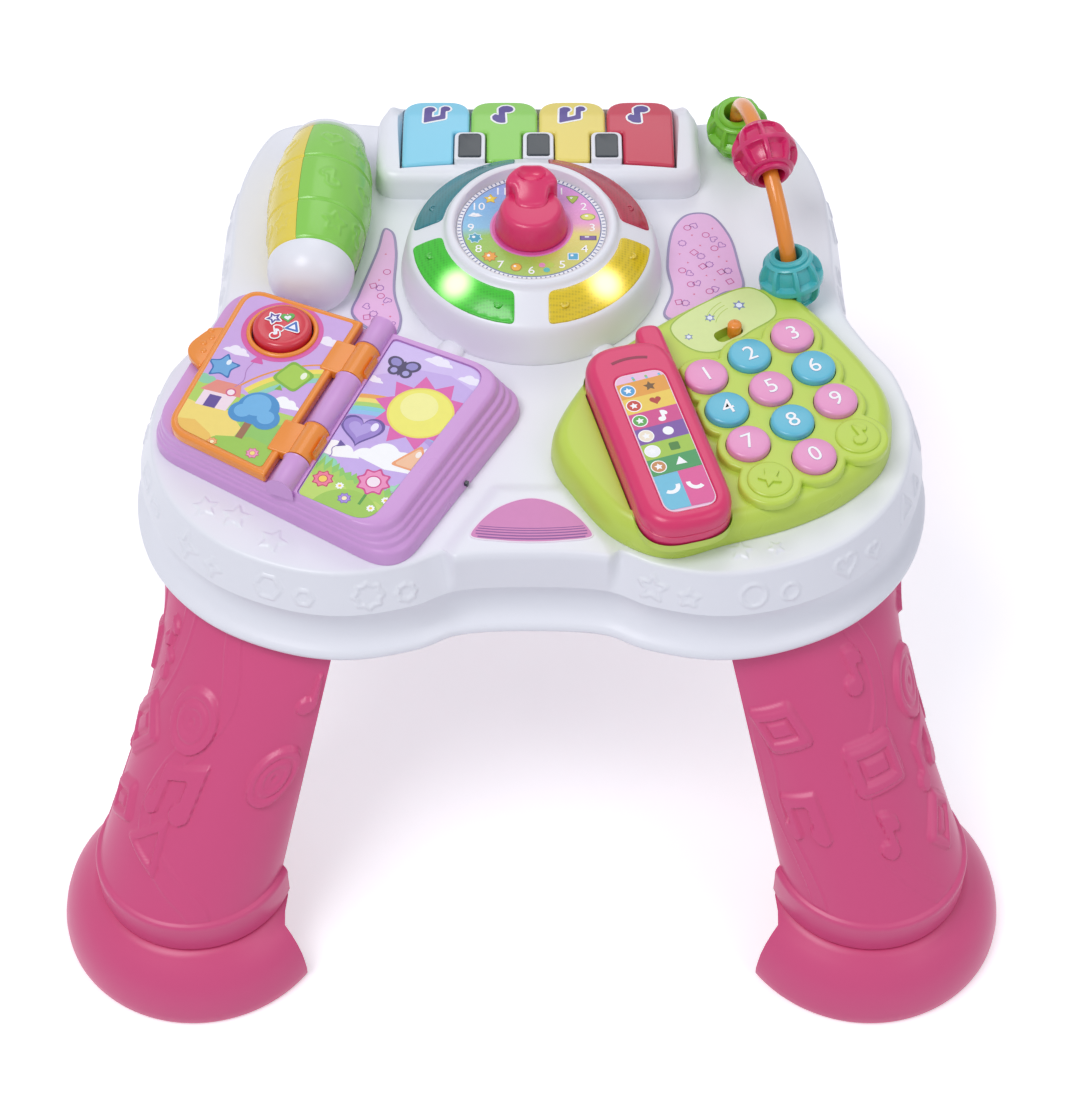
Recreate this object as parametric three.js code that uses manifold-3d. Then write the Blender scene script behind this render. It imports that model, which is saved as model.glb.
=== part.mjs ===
// Toddler activity table: a scalloped tray on four splayed legs, with a clock dial, piano keys,
// a spinning drum, beads on a bar, a turning book page, and a toy phone. Millimetres, +Z up,
// the label side faces -Y, and the origin is on the floor midway between the four feet.
import * as THREE from 'three';
import { mergeVertices } from 'three/addons/utils/BufferGeometryUtils.js';
import Module from 'manifold-3d';

const wasm = await Module();
wasm.setup();

// Gaps and cuts
const clearance = 0.3;
const runningGap = 0.8;
const overrun = 6;
const shellWall = 2.5;

// Plan sizes of the clock
const domeY = 73;
const domeBaseRadius = 76;
const domeFront = domeY - domeBaseRadius;

// Plan sizes of the handset, the keypad and the phone under them
const handsetYaw = 0.2705;
const handsetHalfWidth = 25.6;
const handsetHalfLength = 68;
const handsetSetOff = 42.3;
const handsetSetBack = 11.7;
const handsetX = handsetHalfWidth + handsetSetOff;
const handsetY = domeFront - handsetHalfLength - handsetSetBack;
const numberRadius = 12;
const rowSpacing = 5.3;
const columnSpacing = 3;
const rowYaw = 0.5654;
const columnYaw = -1.1751;
const rowPitch = 2 * numberRadius + rowSpacing;
const columnPitch = 2 * numberRadius + columnSpacing;
const keypadSetOff = 17.1;
const keypadU = handsetHalfWidth + rowPitch + keypadSetOff;
const keypadV = 20.6;
const phoneCentreShares = [0.618, 1.05];
const phoneMiddle = new THREE.Vector2(phoneCentreShares[0] * keypadU, phoneCentreShares[1] * keypadV);
const phoneCentre = atHandset([phoneMiddle])[0];
const phoneBorder = 24.45;
const phoneEndBorder = 27.5;
const phoneHalfWidth = handsetHalfWidth + 1.5 * rowPitch + phoneBorder;
const phoneHalfDepth = handsetHalfLength + phoneEndBorder;

// Plan sizes of the piano behind the clock
const domeBackCut = 15;
const pianoFront = domeY + domeBaseRadius - domeBackCut;
const pianoLedgeDepth = 13.5;
const keyLength = 51.5;
const pianoBackEdge = 2.5;
const keyFront = pianoFront + pianoLedgeDepth;
const keyBack = keyFront + keyLength;
const pianoBack = keyBack + pianoBackEdge;

// Tray
const traySideMargin = 21;
const trayFrontMargin = 17.5;
const trayBackMargin = 10.5;
const trayHalfWidth = phoneCentre.x + phoneHalfWidth + traySideMargin;
const trayFrontReach = phoneHalfDepth - phoneCentre.y + trayFrontMargin;
const trayBackReach = pianoBack + trayBackMargin;
const lipHeight = 205;
const lipThickness = 6;
const lipReach = 5;
const lipRound = 1.5;
const recessDepth = 1;
const wallRise = 34;
const bandRise = 26;
const bandHeight = lipHeight + wallRise;
const deckHeight = bandHeight + bandRise;
const bandInset = 7.5;
const deckRound = 3;
const trayFrontShares = [
  [0, -0.877], [0.19, -0.896], [0.29, -0.957], [0.46, -1], [0.627, -0.963],
  [0.805, -0.84], [0.945, -0.613], [1, -0.319], [0.968, -0.043],
];
const trayBackShares = [
  [0.9, 0.094], [0.855, 0.198], [0.841, 0.33], [0.841, 0.519], [0.832, 0.684],
  [0.791, 0.849], [0.727, 0.958], [0.59, 1], [0.4, 0.985], [0, 0.98],
];
const bandFadeShares = [0.19, 0.36];

// Label hump at the front of the deck
const humpHeight = 2;
const humpShares = [[-0.19, -0.853], [0.19, -0.853], [0.08, -0.6], [-0.08, -0.6]];
const humpCornerRadius = 9;
const labelThickness = 0.8;
const labelHalfWidth = 33;
const labelDepth = 32;
const labelSetBack = 27.5;
const labelShares = [
  [-1, 0.141], [-0.485, 0.028], [0, 0], [0.485, 0.028], [1, 0.141], [0.909, 0.391], [0.545, 0.797],
  [0, 1], [-0.545, 0.797], [-0.909, 0.391],
];

// Legs
const legWall = 5;
const legTopPlate = 3.5;
const legCollarHeight = 66;
const legCollarStep = 2.5;
const legCollarFoot = 42;
const legRadius = 54;
const legOpenInset = 27;
const bellRadius = 80;
const bellShares = [
  [0, 0.87], [0.03, 0.96], [0.1, 1], [0.24, 0.95], [0.48, 0.78], [0.71, 0.48], [0.9, 0.12], [1, 0],
];
const bellOpenInset = 13;
const bellNeckRadius = 57;
const footInset = 24;
const footBackInset = 59;
const footFrontSplay = 33;
const footBackSetIn = 16;
const legTopInset = 6;
const legTopRise = 1.7;
const legFlange = 20;
const legCollarSetBack = 1.4;
const legBackTurn = 0.87;
const legBlendShares = [0, 0.35, 0.7, 1];
const frontLegShares = [0.156, 0.346];
const backLegShares = [0.655, 0.84];
const spigotWidth = 46;
const spigotDepth = 22;
const spigotHeight = 22;
const spigotWall = 3;
const spigotInset = 3;

// Bottom shell, battery box and electronics
const floorPlate = 3;
const floorPlateRise = 2;
const floorPlateHeight = lipHeight + floorPlateRise;
const batteryWidth = 64;
const batteryDepth = 44;
const batteryX = 0;
const batteryY = -60;
const batteryBoxHeight = 20;
const doorLip = 3;
const cellRadius = 7;
const cellLength = 50;
const speakerRadius = 24;
const speakerThickness = 9;
const speakerX = 100;
const speakerY = 10;
const grilleHoleRadius = 1.6;
const grilleHoles = 8;
const bossRadius = 4;
const bossShares = [[0.159, -0.644], [0.75, 0.094], [0.318, 0.849]];
const boardWidth = 90;
const boardDepth = 60;
const boardThickness = 1.6;
const boardX = -30;
const boardY = 40;
const postRadius = 3;
const postHeight = 6;

// Clock dome, dial, knob and lenses
const domeFlare = 6;
const domeShoulderRadius = domeBaseRadius - domeFlare;
const domeShoulderRise = 25.5;
const domeShoulderHeight = deckHeight + domeShoulderRise;
const lensEdge = 1.2;
const lensWidth = 18.3;
const lensOuterRadius = domeShoulderRadius - lensEdge;
const lensInnerRadius = lensOuterRadius - lensWidth;
const lensThickness = 2.6;
const lensRise = 9.2;
const lensOuterHeight = domeShoulderHeight - clearance;
const lensInnerHeight = lensOuterHeight + lensRise;
const rimInset = 3.5;
const rimTopRadius = lensInnerRadius - rimInset;
const rimStep = 4.6;
const rimTopHeight = lensInnerHeight + rimStep;
const dialInset = 4;
const dialRadius = rimTopRadius - dialInset;
const dialRecess = 3.6;
const dialHeight = rimTopHeight - dialRecess;
const dialThickness = 1.2;
const barHalfWidthFront = 8.5;
const barHalfWidthSide = 5.5;
const spindleRadius = 4;
const spindleLength = 24;
const knobRadius = 22;
const knobShares = [[1, 0], [0.98, 0.12], [0.86, 0.52], [0.72, 0.82], [0.5, 0.96], [0, 1]];
const knobHeight = 26;
const knobHeadHalfWidth = 15;
const knobHeadFront = 2;
const knobHeadBack = 26;
const knobHeadBase = 12;
const knobHeadHeight = 31;
const knobHeadRound = 7;
const wireHoleRadius = 10;

// Piano
const pianoX = 4;
const pianoEndWidth = 15.75;
const pianoCornerRadius = 12;
const pianoBedRise = 6.5;
const pianoBedHeight = deckHeight + pianoBedRise;
const pianoLedgeThickness = 2.8;
const keyWidth = 40;
const keyGap = 0.9;
const keyTravelRoom = 4.5;
const keyThickness = 11;
const keyCornerRadius = 11;
const keyPivotSetBack = 6;
const keyPivotRise = 0.4;
const keyLugRadius = 3.1;
const keyLugWidth = 17;
const keyRodRadius = 1.5;
const keyRodGap = 0.25;
const keyNeckThickness = 3;
const blackKeyWidth = 13;
const blackKeyLength = 21;
const blackKeyStand = 3;
const blackWall = 2.4;
const blackKeyShow = 1.5;
const bedHalfWidth = 2 * (keyWidth + keyGap) + keyGap / 2;
const pianoHalfWidth = bedHalfWidth + pianoEndWidth;
const keyBottom = pianoBedHeight + keyTravelRoom;
const keyTop = keyBottom + keyThickness;
const keyPivotY = keyFront - keyPivotSetBack;
const keyPivotHeight = keyBottom + keyPivotRise;
const pianoLedgeHeight = keyPivotHeight + keyLugRadius + 2 * clearance + pianoLedgeThickness;
const blackKeyTop = keyTop + blackKeyStand;
const blackWallTop = blackKeyTop - blackKeyShow;

// Spinning drum
const drumSetOff = 48.5;
const drumY = 112;
const drumRise = 16;
const drumHeight = deckHeight + drumRise;
const drumYaw = -0.05;
const drumRadius = 30;
const drumPianoGap = 0.5;
const pianoSideReach = pianoHalfWidth - pianoX;
const drumX = -Math.max(domeBaseRadius + drumSetOff, pianoSideReach + drumPianoGap + drumRadius);
const drumFrontRadius = 24.5;
const drumBackRadius = 22;
const drumFrontLength = 52;
const drumBackLength = 48;
const drumSplitAngle = 2.827;
const drumAxleRadius = 3;
const drumOpeningGap = 1.8;
const frontHoodDepth = 24;
const backHoodDepth = 9;
const axleSeatDepth = 6;

// Bead bar
const barSideInset = 81.8;
const barArcX = trayHalfWidth - barSideInset;
const barArcY = 112.8;
const barArcRise = 7;
const barArcHeight = deckHeight + barArcRise;
const barArcRadius = 66;
const barYaw = -1.379;
const barLean = -0.129;
const barRadius = 4.6;
const barSocketDepth = 12;
const barSocketRadius = 8;
const beadRadius = 18.6;
const beadHalfHeight = 16.5;
const beadBoreRadius = 7.6;
const beadCollarRadius = 10;
const beadCoreShare = 0.84;
const beadShares = [[0.6, -1], [0.9, -0.55], [1, 0], [0.9, 0.55], [0.6, 1]];
const beadRibThickness = 2.2;
const beadRibs = 8;
const beadAngles = [0.19, 1.8, 2.952];

// Book
const bookX = -109;
const bookSetBack = 52;
const bookY = domeFront - bookSetBack;
const bookYaw = -0.4014;
const bookRise = 23;
const pageStep = 4;
const bookHeight = deckHeight + bookRise;
const bookLeftHeight = bookHeight - pageStep;
const bookReachU = 96;
const bookReachV = 79;
const bookCornerRadius = 20;
const bookFootShares = [
  [-0.948, -0.658], [0.771, -1], [0.958, 0.81], [-1, 0.886],
];
const bookRimShares = [
  [-0.906, -0.62], [0.656, -0.924], [0.802, 0.772], [-0.958, 0.848],
];
const bookStepShares = [
  [0, 0], [0.38, 0.12], [0.58, 0.3], [0.6, 0.48], [0.76, 0.55], [0.78, 0.74], [0.95, 0.84], [1, 1],
];
const spineRadius = 7.6;
const spineInset = 13;
const spineHalfLength = bookReachV - spineInset;
const spineTunnelWall = 3.4;
const spineTunnelHeight = bookHeight - spineRadius - spineTunnelWall;
const knuckleShare = 0.492;
const knuckleCentre = knuckleShare * spineHalfLength;
const knuckleHalfLength = 12;
const pinRadius = 1.6;
const pageThickness = 6;
const pageGap = 0.5;
const pageSpineGap = 3.4;
const pageNearShares = [-0.785, 0.797];
const pageFarShares = [
  [-0.875, 0.797], [-0.802, -0.658],
];
const pageCornerRadius = 14;
const pageTabShares = [-0.854, 0.165];
const pageTabReach = 11;
const tabHalfWidth = 16;
const buttonPlaceShares = [-0.515, 0.484];
const buttonRadius = 16.5;
const buttonHoleGap = 0.5;
const buttonShow = 5.7;
const buttonTop = bookLeftHeight + pageGap + pageThickness + buttonShow;
const pageHoleGap = 0.9;
const pageRingWidth = 3.6;
const pageHoleRadius = buttonRadius + pageHoleGap;
const pageRingRadius = pageHoleRadius + pageRingWidth;
const pageRingRise = 1.4;
const buttonFlange = 2.5;
const pictureThickness = 0.8;
const pictureSpineGap = 1.9;
const pictureNearShares = [-0.835, 0.772];
const pictureFarShares = [
  [0.552, -0.873], [0.708, 0.734],
];
const pictureRecess = 2.2;

// Phone base and its buttons
const phoneShares = [
  [-1, -0.168], [-0.979, -0.346], [-0.894, -0.513], [-0.649, -0.849], [-0.34, -0.995], [0, -0.896],
  [0.394, -0.765], [0.702, -0.587], [0.936, -0.335], [1.005, -0.084], [0.995, 0.125],
  [0.915, 0.324], [0.787, 0.544], [0.617, 0.795], [0.479, 0.942], [0.287, 1.005], [0.053, 0.963],
  [-0.16, 0.848], [-0.351, 0.712], [-0.67, 0.439], [-0.862, 0.167],
];
const phoneRise = 19;
const phoneHeight = deckHeight + phoneRise;
const phoneTaper = 3.5;
const phoneRound = 3;
const keypadRise = 4.5;
const keypadHeight = phoneHeight + keypadRise;
const keypadMargin = 4.6;
const numberRise = 3.9;
const numberTop = keypadHeight + numberRise;
const numberGap = 0.45;
const numberFlange = 0.7;
const numberFlangeThickness = 1.5;
const numberTravelRoom = 3.3;
const fixedDiscRise = 1.2;
const keypadBoardHeight = phoneHeight - shellWall - clearance - numberFlangeThickness - numberTravelRoom;
const keypadPostRadius = 2.5;
const boardCornerShares = [[-1.2, -1.2], [-1.2, 2.1], [1.2, 2.1], [1.2, -1.2]];
const postShares = [[-1, -1.1], [-1, 1.9], [1, 1.9], [1, -1.1]];
const sliderPlaceShares = [0.064, 0.57];
const sliderYaw = 0.563;
const sliderSlotLength = 17.5;
const sliderSlotWidth = 9;
const sliderRadius = 4;
const sliderRise = 6;
const sliderOffset = 4;
const volumePanelShares = [
  [-0.287, 0.617], [-0.17, 0.439], [-0.021, 0.413], [0.202, 0.581], [0.362, 0.722], [0.33, 0.869],
  [0.213, 0.953], [0.032, 0.89],
];
const volumePanelThickness = 0.7;

// Handset
const handsetCornerRadius = 21;
const handsetThickness = 21;
const handsetRound = 4;
const troughDepth = 5;
const troughHeight = phoneHeight - troughDepth;
const troughGap = 0.6;
const antennaX = 17.5;
const antennaHalfWidth = 7.5;
const antennaReach = 11;
const antennaRound = 7;
const antennaDrop = 5.5;
const screenX = 1.5;
const screenY = -8;
const screenBorder = 10.6;
const screenEndBorder = 17;
const screenHalfWidth = handsetHalfWidth - screenBorder;
const screenHalfLength = handsetHalfLength - screenEndBorder;
const screenCornerRadius = 8;
const screenThickness = 1.2;

// Side decals
const decalThickness = 0.6;
const rightDecalShares = [
  [1.039, 0.053], [1.066, -0.224], [1, -0.474], [1.053, -0.526], [1.237, -0.434], [1.474, -0.25],
  [1.618, -0.197], [1.605, 0.066], [1.539, 0.408], [1.395, 0.632], [1.224, 0.632], [1.105, 0.487],
];
const leftDecalShares = [
  [-1.039, 0.224], [-1.079, 0.434], [-1.145, 0.474], [-1.197, 0.237], [-1.27, -0.039],
  [-1.329, -0.263], [-1.368, -0.461], [-1.184, -0.658], [-1.026, -0.684], [-0.98, -0.539],
  [-1.039, -0.224],
];

// Counts of steps on round stretches
const traySteps = 64;
const legSteps = 12;
const roundSteps = 24;
const domeSteps = 36;
const smallSteps = 14;
const arcSteps = 18;
const tubeSides = 10;
const phoneSteps = 48;
const cornerSteps = 4;

// A finish, from colour, roughness and metalness
function finish(color, roughness = 0.35, metalness = 0) {
  return new THREE.MeshStandardMaterial({ color, roughness, metalness });
}

const white = finish('#f4f4fc');
const pink = finish('#db4f8e');
const lilac = finish('#cb96db');
const orange = finish('#f0963a');
const lime = finish('#cbe36c');
const magenta = finish('#dc2a68');
const dark = finish('#2f3b44', 0.45);
const steel = finish('#b8bcc0', 0.3, 1);
const boardGreen = finish('#2f7d4f', 0.6);
const buttonPink = finish('#ee9ccb', 0.25);
const buttonBlue = finish('#62c3dc', 0.25);
const printed = finish('#ebb8e6', 0.5);

const table = new THREE.Group();

// A closed geometry as a solid, turned outward where its faces point in
function solid(geometry) {
  const bare = geometry.clone();
  bare.deleteAttribute('normal');
  bare.deleteAttribute('uv');
  const merged = mergeVertices(bare, 1e-4);
  const position = merged.attributes.position;
  const index = merged.index.array;
  const corners = [new THREE.Vector3(), new THREE.Vector3(), new THREE.Vector3()];
  const triangles = [];
  let volume = 0;
  for (let i = 0; i < index.length; i += 3) {
    const [a, b, c] = [index[i], index[i + 1], index[i + 2]];
    if (a !== b && b !== c && c !== a) {
      triangles.push([a, b, c]);
      corners.forEach((corner, k) => corner.fromBufferAttribute(position, index[i + k]));
      volume += corners[0].dot(corners[1].clone().cross(corners[2]));
    }
  }
  const outward = volume < 0 ? triangles.map(([a, b, c]) => [a, c, b]) : triangles;
  const mesh = new wasm.Mesh({
    numProp: 3,
    vertProperties: new Float32Array(position.array),
    triVerts: new Uint32Array(outward.flat()),
  });
  return new wasm.Manifold(mesh);
}

// The three.js geometry of a solid
function geometryOf(body) {
  const mesh = body.getMesh();
  const geometry = new THREE.BufferGeometry();
  geometry.setAttribute('position', new THREE.BufferAttribute(new Float32Array(mesh.vertProperties), 3));
  geometry.setIndex(new THREE.BufferAttribute(new Uint32Array(mesh.triVerts), 1));
  geometry.computeVertexNormals();
  return geometry;
}

// Adds one named piece to a group
function piece(group, name, body, material) {
  const mesh = new THREE.Mesh(geometryOf(body), material);
  mesh.name = name;
  group.add(mesh);
  return mesh;
}

// A group at a place, turned about Z
function placedGroup(x, y, z, yaw) {
  const group = new THREE.Group();
  group.position.set(x, y, z);
  group.rotation.z = yaw;
  table.add(group);
  return group;
}

// A solid through rings of equal count, lowest first, each counterclockwise from above
function loft(rings) {
  const count = rings[0].length;
  const positions = rings.flat().flatMap((point) => [point.x, point.y, point.z]);
  const index = [];
  for (let level = 0; level < rings.length - 1; level += 1) {
    for (let i = 0; i < count; i += 1) {
      const near = level * count + i;
      const next = level * count + ((i + 1) % count);
      index.push(near, next, next + count, near, next + count, near + count);
    }
  }
  const lid = (ring) => THREE.ShapeUtils.triangulateShape(ring.map((p) => new THREE.Vector2(p.x, p.y)), []);
  const top = (rings.length - 1) * count;
  lid(rings[0]).forEach(([a, b, c]) => index.push(c, b, a));
  lid(rings.at(-1)).forEach(([a, b, c]) => index.push(top + a, top + b, top + c));
  const geometry = new THREE.BufferGeometry();
  geometry.setAttribute('position', new THREE.Float32BufferAttribute(positions, 3));
  geometry.setIndex(index);
  return solid(geometry);
}

// Flat points raised to a height
function ringAt(points, height) {
  return points.map((point) => new THREE.Vector3(point.x, point.y, height));
}

// An outline moved outward by a distance at every point, outlines being counterclockwise
function offsetOutline(points, distance) {
  const count = points.length;
  return points.map((point, i) => {
    const before = points[(i + count - 1) % count];
    const after = points[(i + 1) % count];
    const along = after.clone().sub(before).normalize();
    return new THREE.Vector2(point.x + along.y * distance, point.y - along.x * distance);
  });
}

// A closed smooth curve through chosen points
function smoothCurve(points) {
  const knots = points.map(([x, y]) => new THREE.Vector3(x, y, 0));
  return new THREE.CatmullRomCurve3(knots, true, 'centripetal');
}

// A closed smooth outline through chosen points
function smoothOutline(points, steps) {
  return smoothCurve(points).getSpacedPoints(steps).slice(0, -1).map((p) => new THREE.Vector2(p.x, p.y));
}

// A polygon with its corners rounded
function roundedOutline(corners, radius, steps = cornerSteps) {
  const shape = new THREE.Shape();
  const points = corners.map(([x, y]) => new THREE.Vector2(x, y));
  points.forEach((corner, i) => {
    const before = points[(i + points.length - 1) % points.length];
    const after = points[(i + 1) % points.length];
    const start = before.clone().sub(corner).setLength(radius).add(corner);
    const end = after.clone().sub(corner).setLength(radius).add(corner);
    if (i === 0) {
      shape.moveTo(start.x, start.y);
    } else {
      shape.lineTo(start.x, start.y);
    }
    shape.quadraticCurveTo(corner.x, corner.y, end.x, end.y);
  });
  return shape.getPoints(steps);
}

// A rectangle's corners about a centre
function rectangle(halfWidth, halfDepth, x = 0, y = 0) {
  return [[x - halfWidth, y - halfDepth], [x + halfWidth, y - halfDepth],
    [x + halfWidth, y + halfDepth], [x - halfWidth, y + halfDepth]];
}

// An outline raised from one height to another
function prism(points, bottom, top) {
  return loft([ringAt(points, bottom), ringAt(points, top)]);
}

// An outline raised to a height with a taper and a rounded upper edge
function taperedPrism(points, bottom, top, taper, round) {
  return loft([
    ringAt(points, bottom),
    ringAt(offsetOutline(points, -taper), top - round),
    ringAt(offsetOutline(points, -taper - round * 0.3), top - round * 0.3),
    ringAt(offsetOutline(points, -taper - round), top),
  ]);
}

// A circle's points
function circle(radius, x = 0, y = 0, steps = smallSteps) {
  return Array.from({ length: steps }, (_, i) => {
    const angle = (i / steps) * 2 * Math.PI;
    return new THREE.Vector2(x + radius * Math.cos(angle), y + radius * Math.sin(angle));
  });
}

// An upright disc or post
function post(radius, x, y, bottom, top, steps = smallSteps) {
  return prism(circle(radius, x, y, steps), bottom, top);
}

// A round shape from radius and height pairs about a vertical axis
function turned(profile, steps = roundSteps) {
  const points = profile.map(([radius, height]) => new THREE.Vector2(radius, height));
  const geometry = new THREE.LatheGeometry(points, steps);
  geometry.rotateX(Math.PI / 2);
  return solid(geometry);
}

// A rod along Y
function rodAlongY(radius, start, end, steps = smallSteps) {
  const geometry = new THREE.CylinderGeometry(radius, radius, end - start, steps);
  geometry.translate(0, (start + end) / 2, 0);
  return solid(geometry);
}

// A rod along X
function rodAlongX(radius, start, end, y, z, steps = smallSteps) {
  const geometry = new THREE.CylinderGeometry(radius, radius, end - start, steps);
  geometry.rotateZ(Math.PI / 2);
  geometry.translate((start + end) / 2, y, z);
  return solid(geometry);
}

// A solid moved to a place and turned about Z
function moved(body, x, y, z, yaw = 0) {
  const geometry = geometryOf(body);
  geometry.rotateZ(yaw);
  geometry.translate(x, y, z);
  return solid(geometry);
}

// The place on the tray that a pair of shares gives
function trayPlace([x, y]) {
  return [x * trayHalfWidth, y * (y < 0 ? trayFrontReach : trayBackReach)];
}

// The chosen points of the tray's plan outline at the band's lower edge
function trayPoints() {
  const right = [...trayFrontShares, ...trayBackShares].map(trayPlace);
  const left = right.slice(1, -1).reverse().map(([x, y]) => [-x, y]);
  return [...right, ...left];
}

const trayCurve = smoothCurve(trayPoints());
const outline = smoothOutline(trayPoints(), traySteps);

// How far the sloping band has set in at a point: none at the front centre
function bandShare(point) {
  if (point.y > 0) {
    return 1;
  }
  const reach = Math.abs(point.x) / trayHalfWidth;
  return THREE.MathUtils.smoothstep(reach, bandFadeShares[0], bandFadeShares[1]);
}

// A tray ring: the outline offset, and set in by a share of the band
function trayRing(height, offset, share) {
  const outer = offsetOutline(outline, 1).map((point, i) => point.sub(outline[i]));
  return outline.map((point, i) => {
    const distance = offset - bandInset * share * bandShare(point);
    return new THREE.Vector3(point.x + outer[i].x * distance, point.y + outer[i].y * distance, height);
  });
}

// Points of the drum's side outline, from front to back
function drumProfile(gap) {
  const stations = 8;
  return Array.from({ length: stations + 1 }, (_, i) => {
    const y = -drumFrontLength + (i / stations) * (drumFrontLength + drumBackLength);
    const [length, end] = y < 0 ? [drumFrontLength, drumFrontRadius] : [drumBackLength, drumBackRadius];
    return new THREE.Vector2(drumRadius - (drumRadius - end) * (y / length) ** 2 + gap, y);
  });
}

// The hoods that carry the drum's axle, in the drum's own frame
function drumHood(radius, depth, faceY, side) {
  const ball = new THREE.SphereGeometry(radius, smallSteps, smallSteps / 2);
  ball.scale(1, depth / radius, 1);
  ball.rotateY(Math.PI / smallSteps);
  ball.translate(0, faceY, 0);
  const keep = new THREE.BoxGeometry(2 * drumRadius, depth + overrun, 2 * drumRadius);
  const bottom = deckHeight - drumHeight - shellWall / 2;
  keep.translate(0, faceY + side * (depth + overrun) / 2, bottom + drumRadius);
  const seatStart = side < 0 ? faceY - axleSeatDepth : faceY - overrun;
  const seatEnd = side < 0 ? faceY + overrun : faceY + axleSeatDepth;
  const seat = rodAlongY(drumAxleRadius + clearance, seatStart, seatEnd);
  return solid(ball).intersect(solid(keep)).subtract(seat);
}

// The white upper casing of the tray
function topShell() {
  const lipMid = lipHeight + lipThickness / 2;
  const outside = loft([
    trayRing(lipHeight, lipReach - lipRound, 0),
    trayRing(lipHeight + lipRound, lipReach, 0),
    trayRing(lipHeight + lipThickness - lipRound, lipReach, 0),
    trayRing(lipHeight + lipThickness + lipRound, -recessDepth, 0),
    trayRing(bandHeight, 0, 0),
    trayRing(deckHeight - deckRound, 0, 1),
    trayRing(deckHeight - deckRound * 0.3, -deckRound * 0.3, 1),
    trayRing(deckHeight, -deckRound, 1),
  ]);
  const inside = loft([
    trayRing(lipMid - overrun, -recessDepth - shellWall, 0),
    trayRing(bandHeight, -recessDepth - shellWall, 0),
    trayRing(deckHeight - shellWall, -recessDepth - shellWall, 1),
  ]);
  const humpPoints = humpShares.map(trayPlace);
  const hump = taperedPrism(roundedOutline(humpPoints, humpCornerRadius), deckHeight - shellWall / 2,
    deckHeight + humpHeight, humpHeight, humpHeight / 2);
  const frontFace = -drumFrontLength - runningGap;
  const backFace = drumBackLength + runningGap;
  const frontHood = drumHood(drumFrontRadius, frontHoodDepth, frontFace, -1);
  const backHood = drumHood(drumBackRadius - clearance, backHoodDepth, backFace, 1);
  const side = drumProfile(drumOpeningGap);
  const ends = [new THREE.Vector2(side[0].x, frontFace), ...side, new THREE.Vector2(side.at(-1).x,
    backFace)];
  const mirrored = [...ends].reverse().map((point) => new THREE.Vector2(-point.x, point.y));
  const slot = prism([...ends, ...mirrored], -drumRadius, deckHeight - drumHeight + overrun);
  let shell = outside.subtract(inside).add(hump);
  shell = shell.subtract(moved(slot, drumX, drumY, drumHeight, drumYaw));
  shell = shell.add(moved(frontHood, drumX, drumY, drumHeight, drumYaw));
  shell = shell.add(moved(backHood, drumX, drumY, drumHeight, drumYaw));
  barEnds().forEach((end) => {
    const top = deckHeight - shellWall / 2;
    shell = shell.add(post(barSocketRadius, end.x, end.y, deckHeight - barSocketDepth - shellWall, top));
    shell = shell.subtract(post(barRadius + clearance, end.x, end.y, deckHeight - barSocketDepth,
      deckHeight + overrun));
  });
  postShares.map(([row, column]) => keypadSpot(row, column)).forEach(([x, y]) => {
    const top = keypadBoardHeight - boardThickness - clearance;
    shell = shell.add(post(keypadPostRadius, x, y, deckHeight - shellWall / 2, top, smallSteps / 2));
  });
  [[0, domeY], [pianoX, keyFront], keypadSpot(0, 0), [bookX, bookY]].forEach(([x, y]) => {
    shell = shell.subtract(post(wireHoleRadius, x, y, deckHeight - shellWall - overrun,
      deckHeight + overrun));
  });
  return shell;
}

// The bead bar's arc frame: its centre, and the directions along and up
function barFrame() {
  const along = new THREE.Vector3(Math.cos(barYaw), Math.sin(barYaw), 0);
  const side = new THREE.Vector3(-along.y, along.x, 0);
  const up = new THREE.Vector3(0, 0, Math.cos(barLean)).addScaledVector(side, Math.sin(barLean));
  return { centre: new THREE.Vector3(barArcX, barArcY, barArcHeight), along, up };
}

// A point of the bead bar's arc at an angle from its back foot
function barPoint(angle) {
  const { centre, along, up } = barFrame();
  return centre.addScaledVector(along, -barArcRadius * Math.cos(angle))
    .addScaledVector(up, barArcRadius * Math.sin(angle));
}

// The direction of the bead bar's arc at an angle from its back foot
function barTangent(angle) {
  const { along, up } = barFrame();
  return along.multiplyScalar(Math.sin(angle)).addScaledVector(up, Math.cos(angle)).normalize();
}

// Where the bar's two straight feet stand
function barEnds() {
  return [barPoint(0), barPoint(Math.PI)];
}

// A round tube along a path that lies near one plane
function tube(path, radius, planeNormal) {
  const rings = path.map((point, i) => {
    const after = path[Math.min(i + 1, path.length - 1)];
    const tangent = after.clone().sub(path[Math.max(i - 1, 0)]).normalize();
    const side = planeNormal.clone().addScaledVector(tangent, -planeNormal.dot(tangent)).normalize();
    const first = side.clone().cross(tangent);
    return circle(1, 0, 0, tubeSides).map((spot) => point.clone()
      .addScaledVector(first, radius * spot.x).addScaledVector(side, radius * spot.y));
  });
  const index = [];
  const last = (rings.length - 1) * tubeSides;
  rings.slice(1).forEach((ring, i) => {
    for (let k = 0; k < tubeSides; k += 1) {
      const near = i * tubeSides + k;
      const next = i * tubeSides + ((k + 1) % tubeSides);
      index.push(near, next, next + tubeSides, near, next + tubeSides, near + tubeSides);
    }
  });
  for (let k = 1; k + 1 < tubeSides; k += 1) {
    index.push(0, k + 1, k);
    index.push(last, last + k, last + k + 1);
  }
  const geometry = new THREE.BufferGeometry();
  const positions = rings.flat().flatMap((point) => [point.x, point.y, point.z]);
  geometry.setAttribute('position', new THREE.Float32BufferAttribute(positions, 3));
  geometry.setIndex(index);
  return solid(geometry);
}

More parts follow.
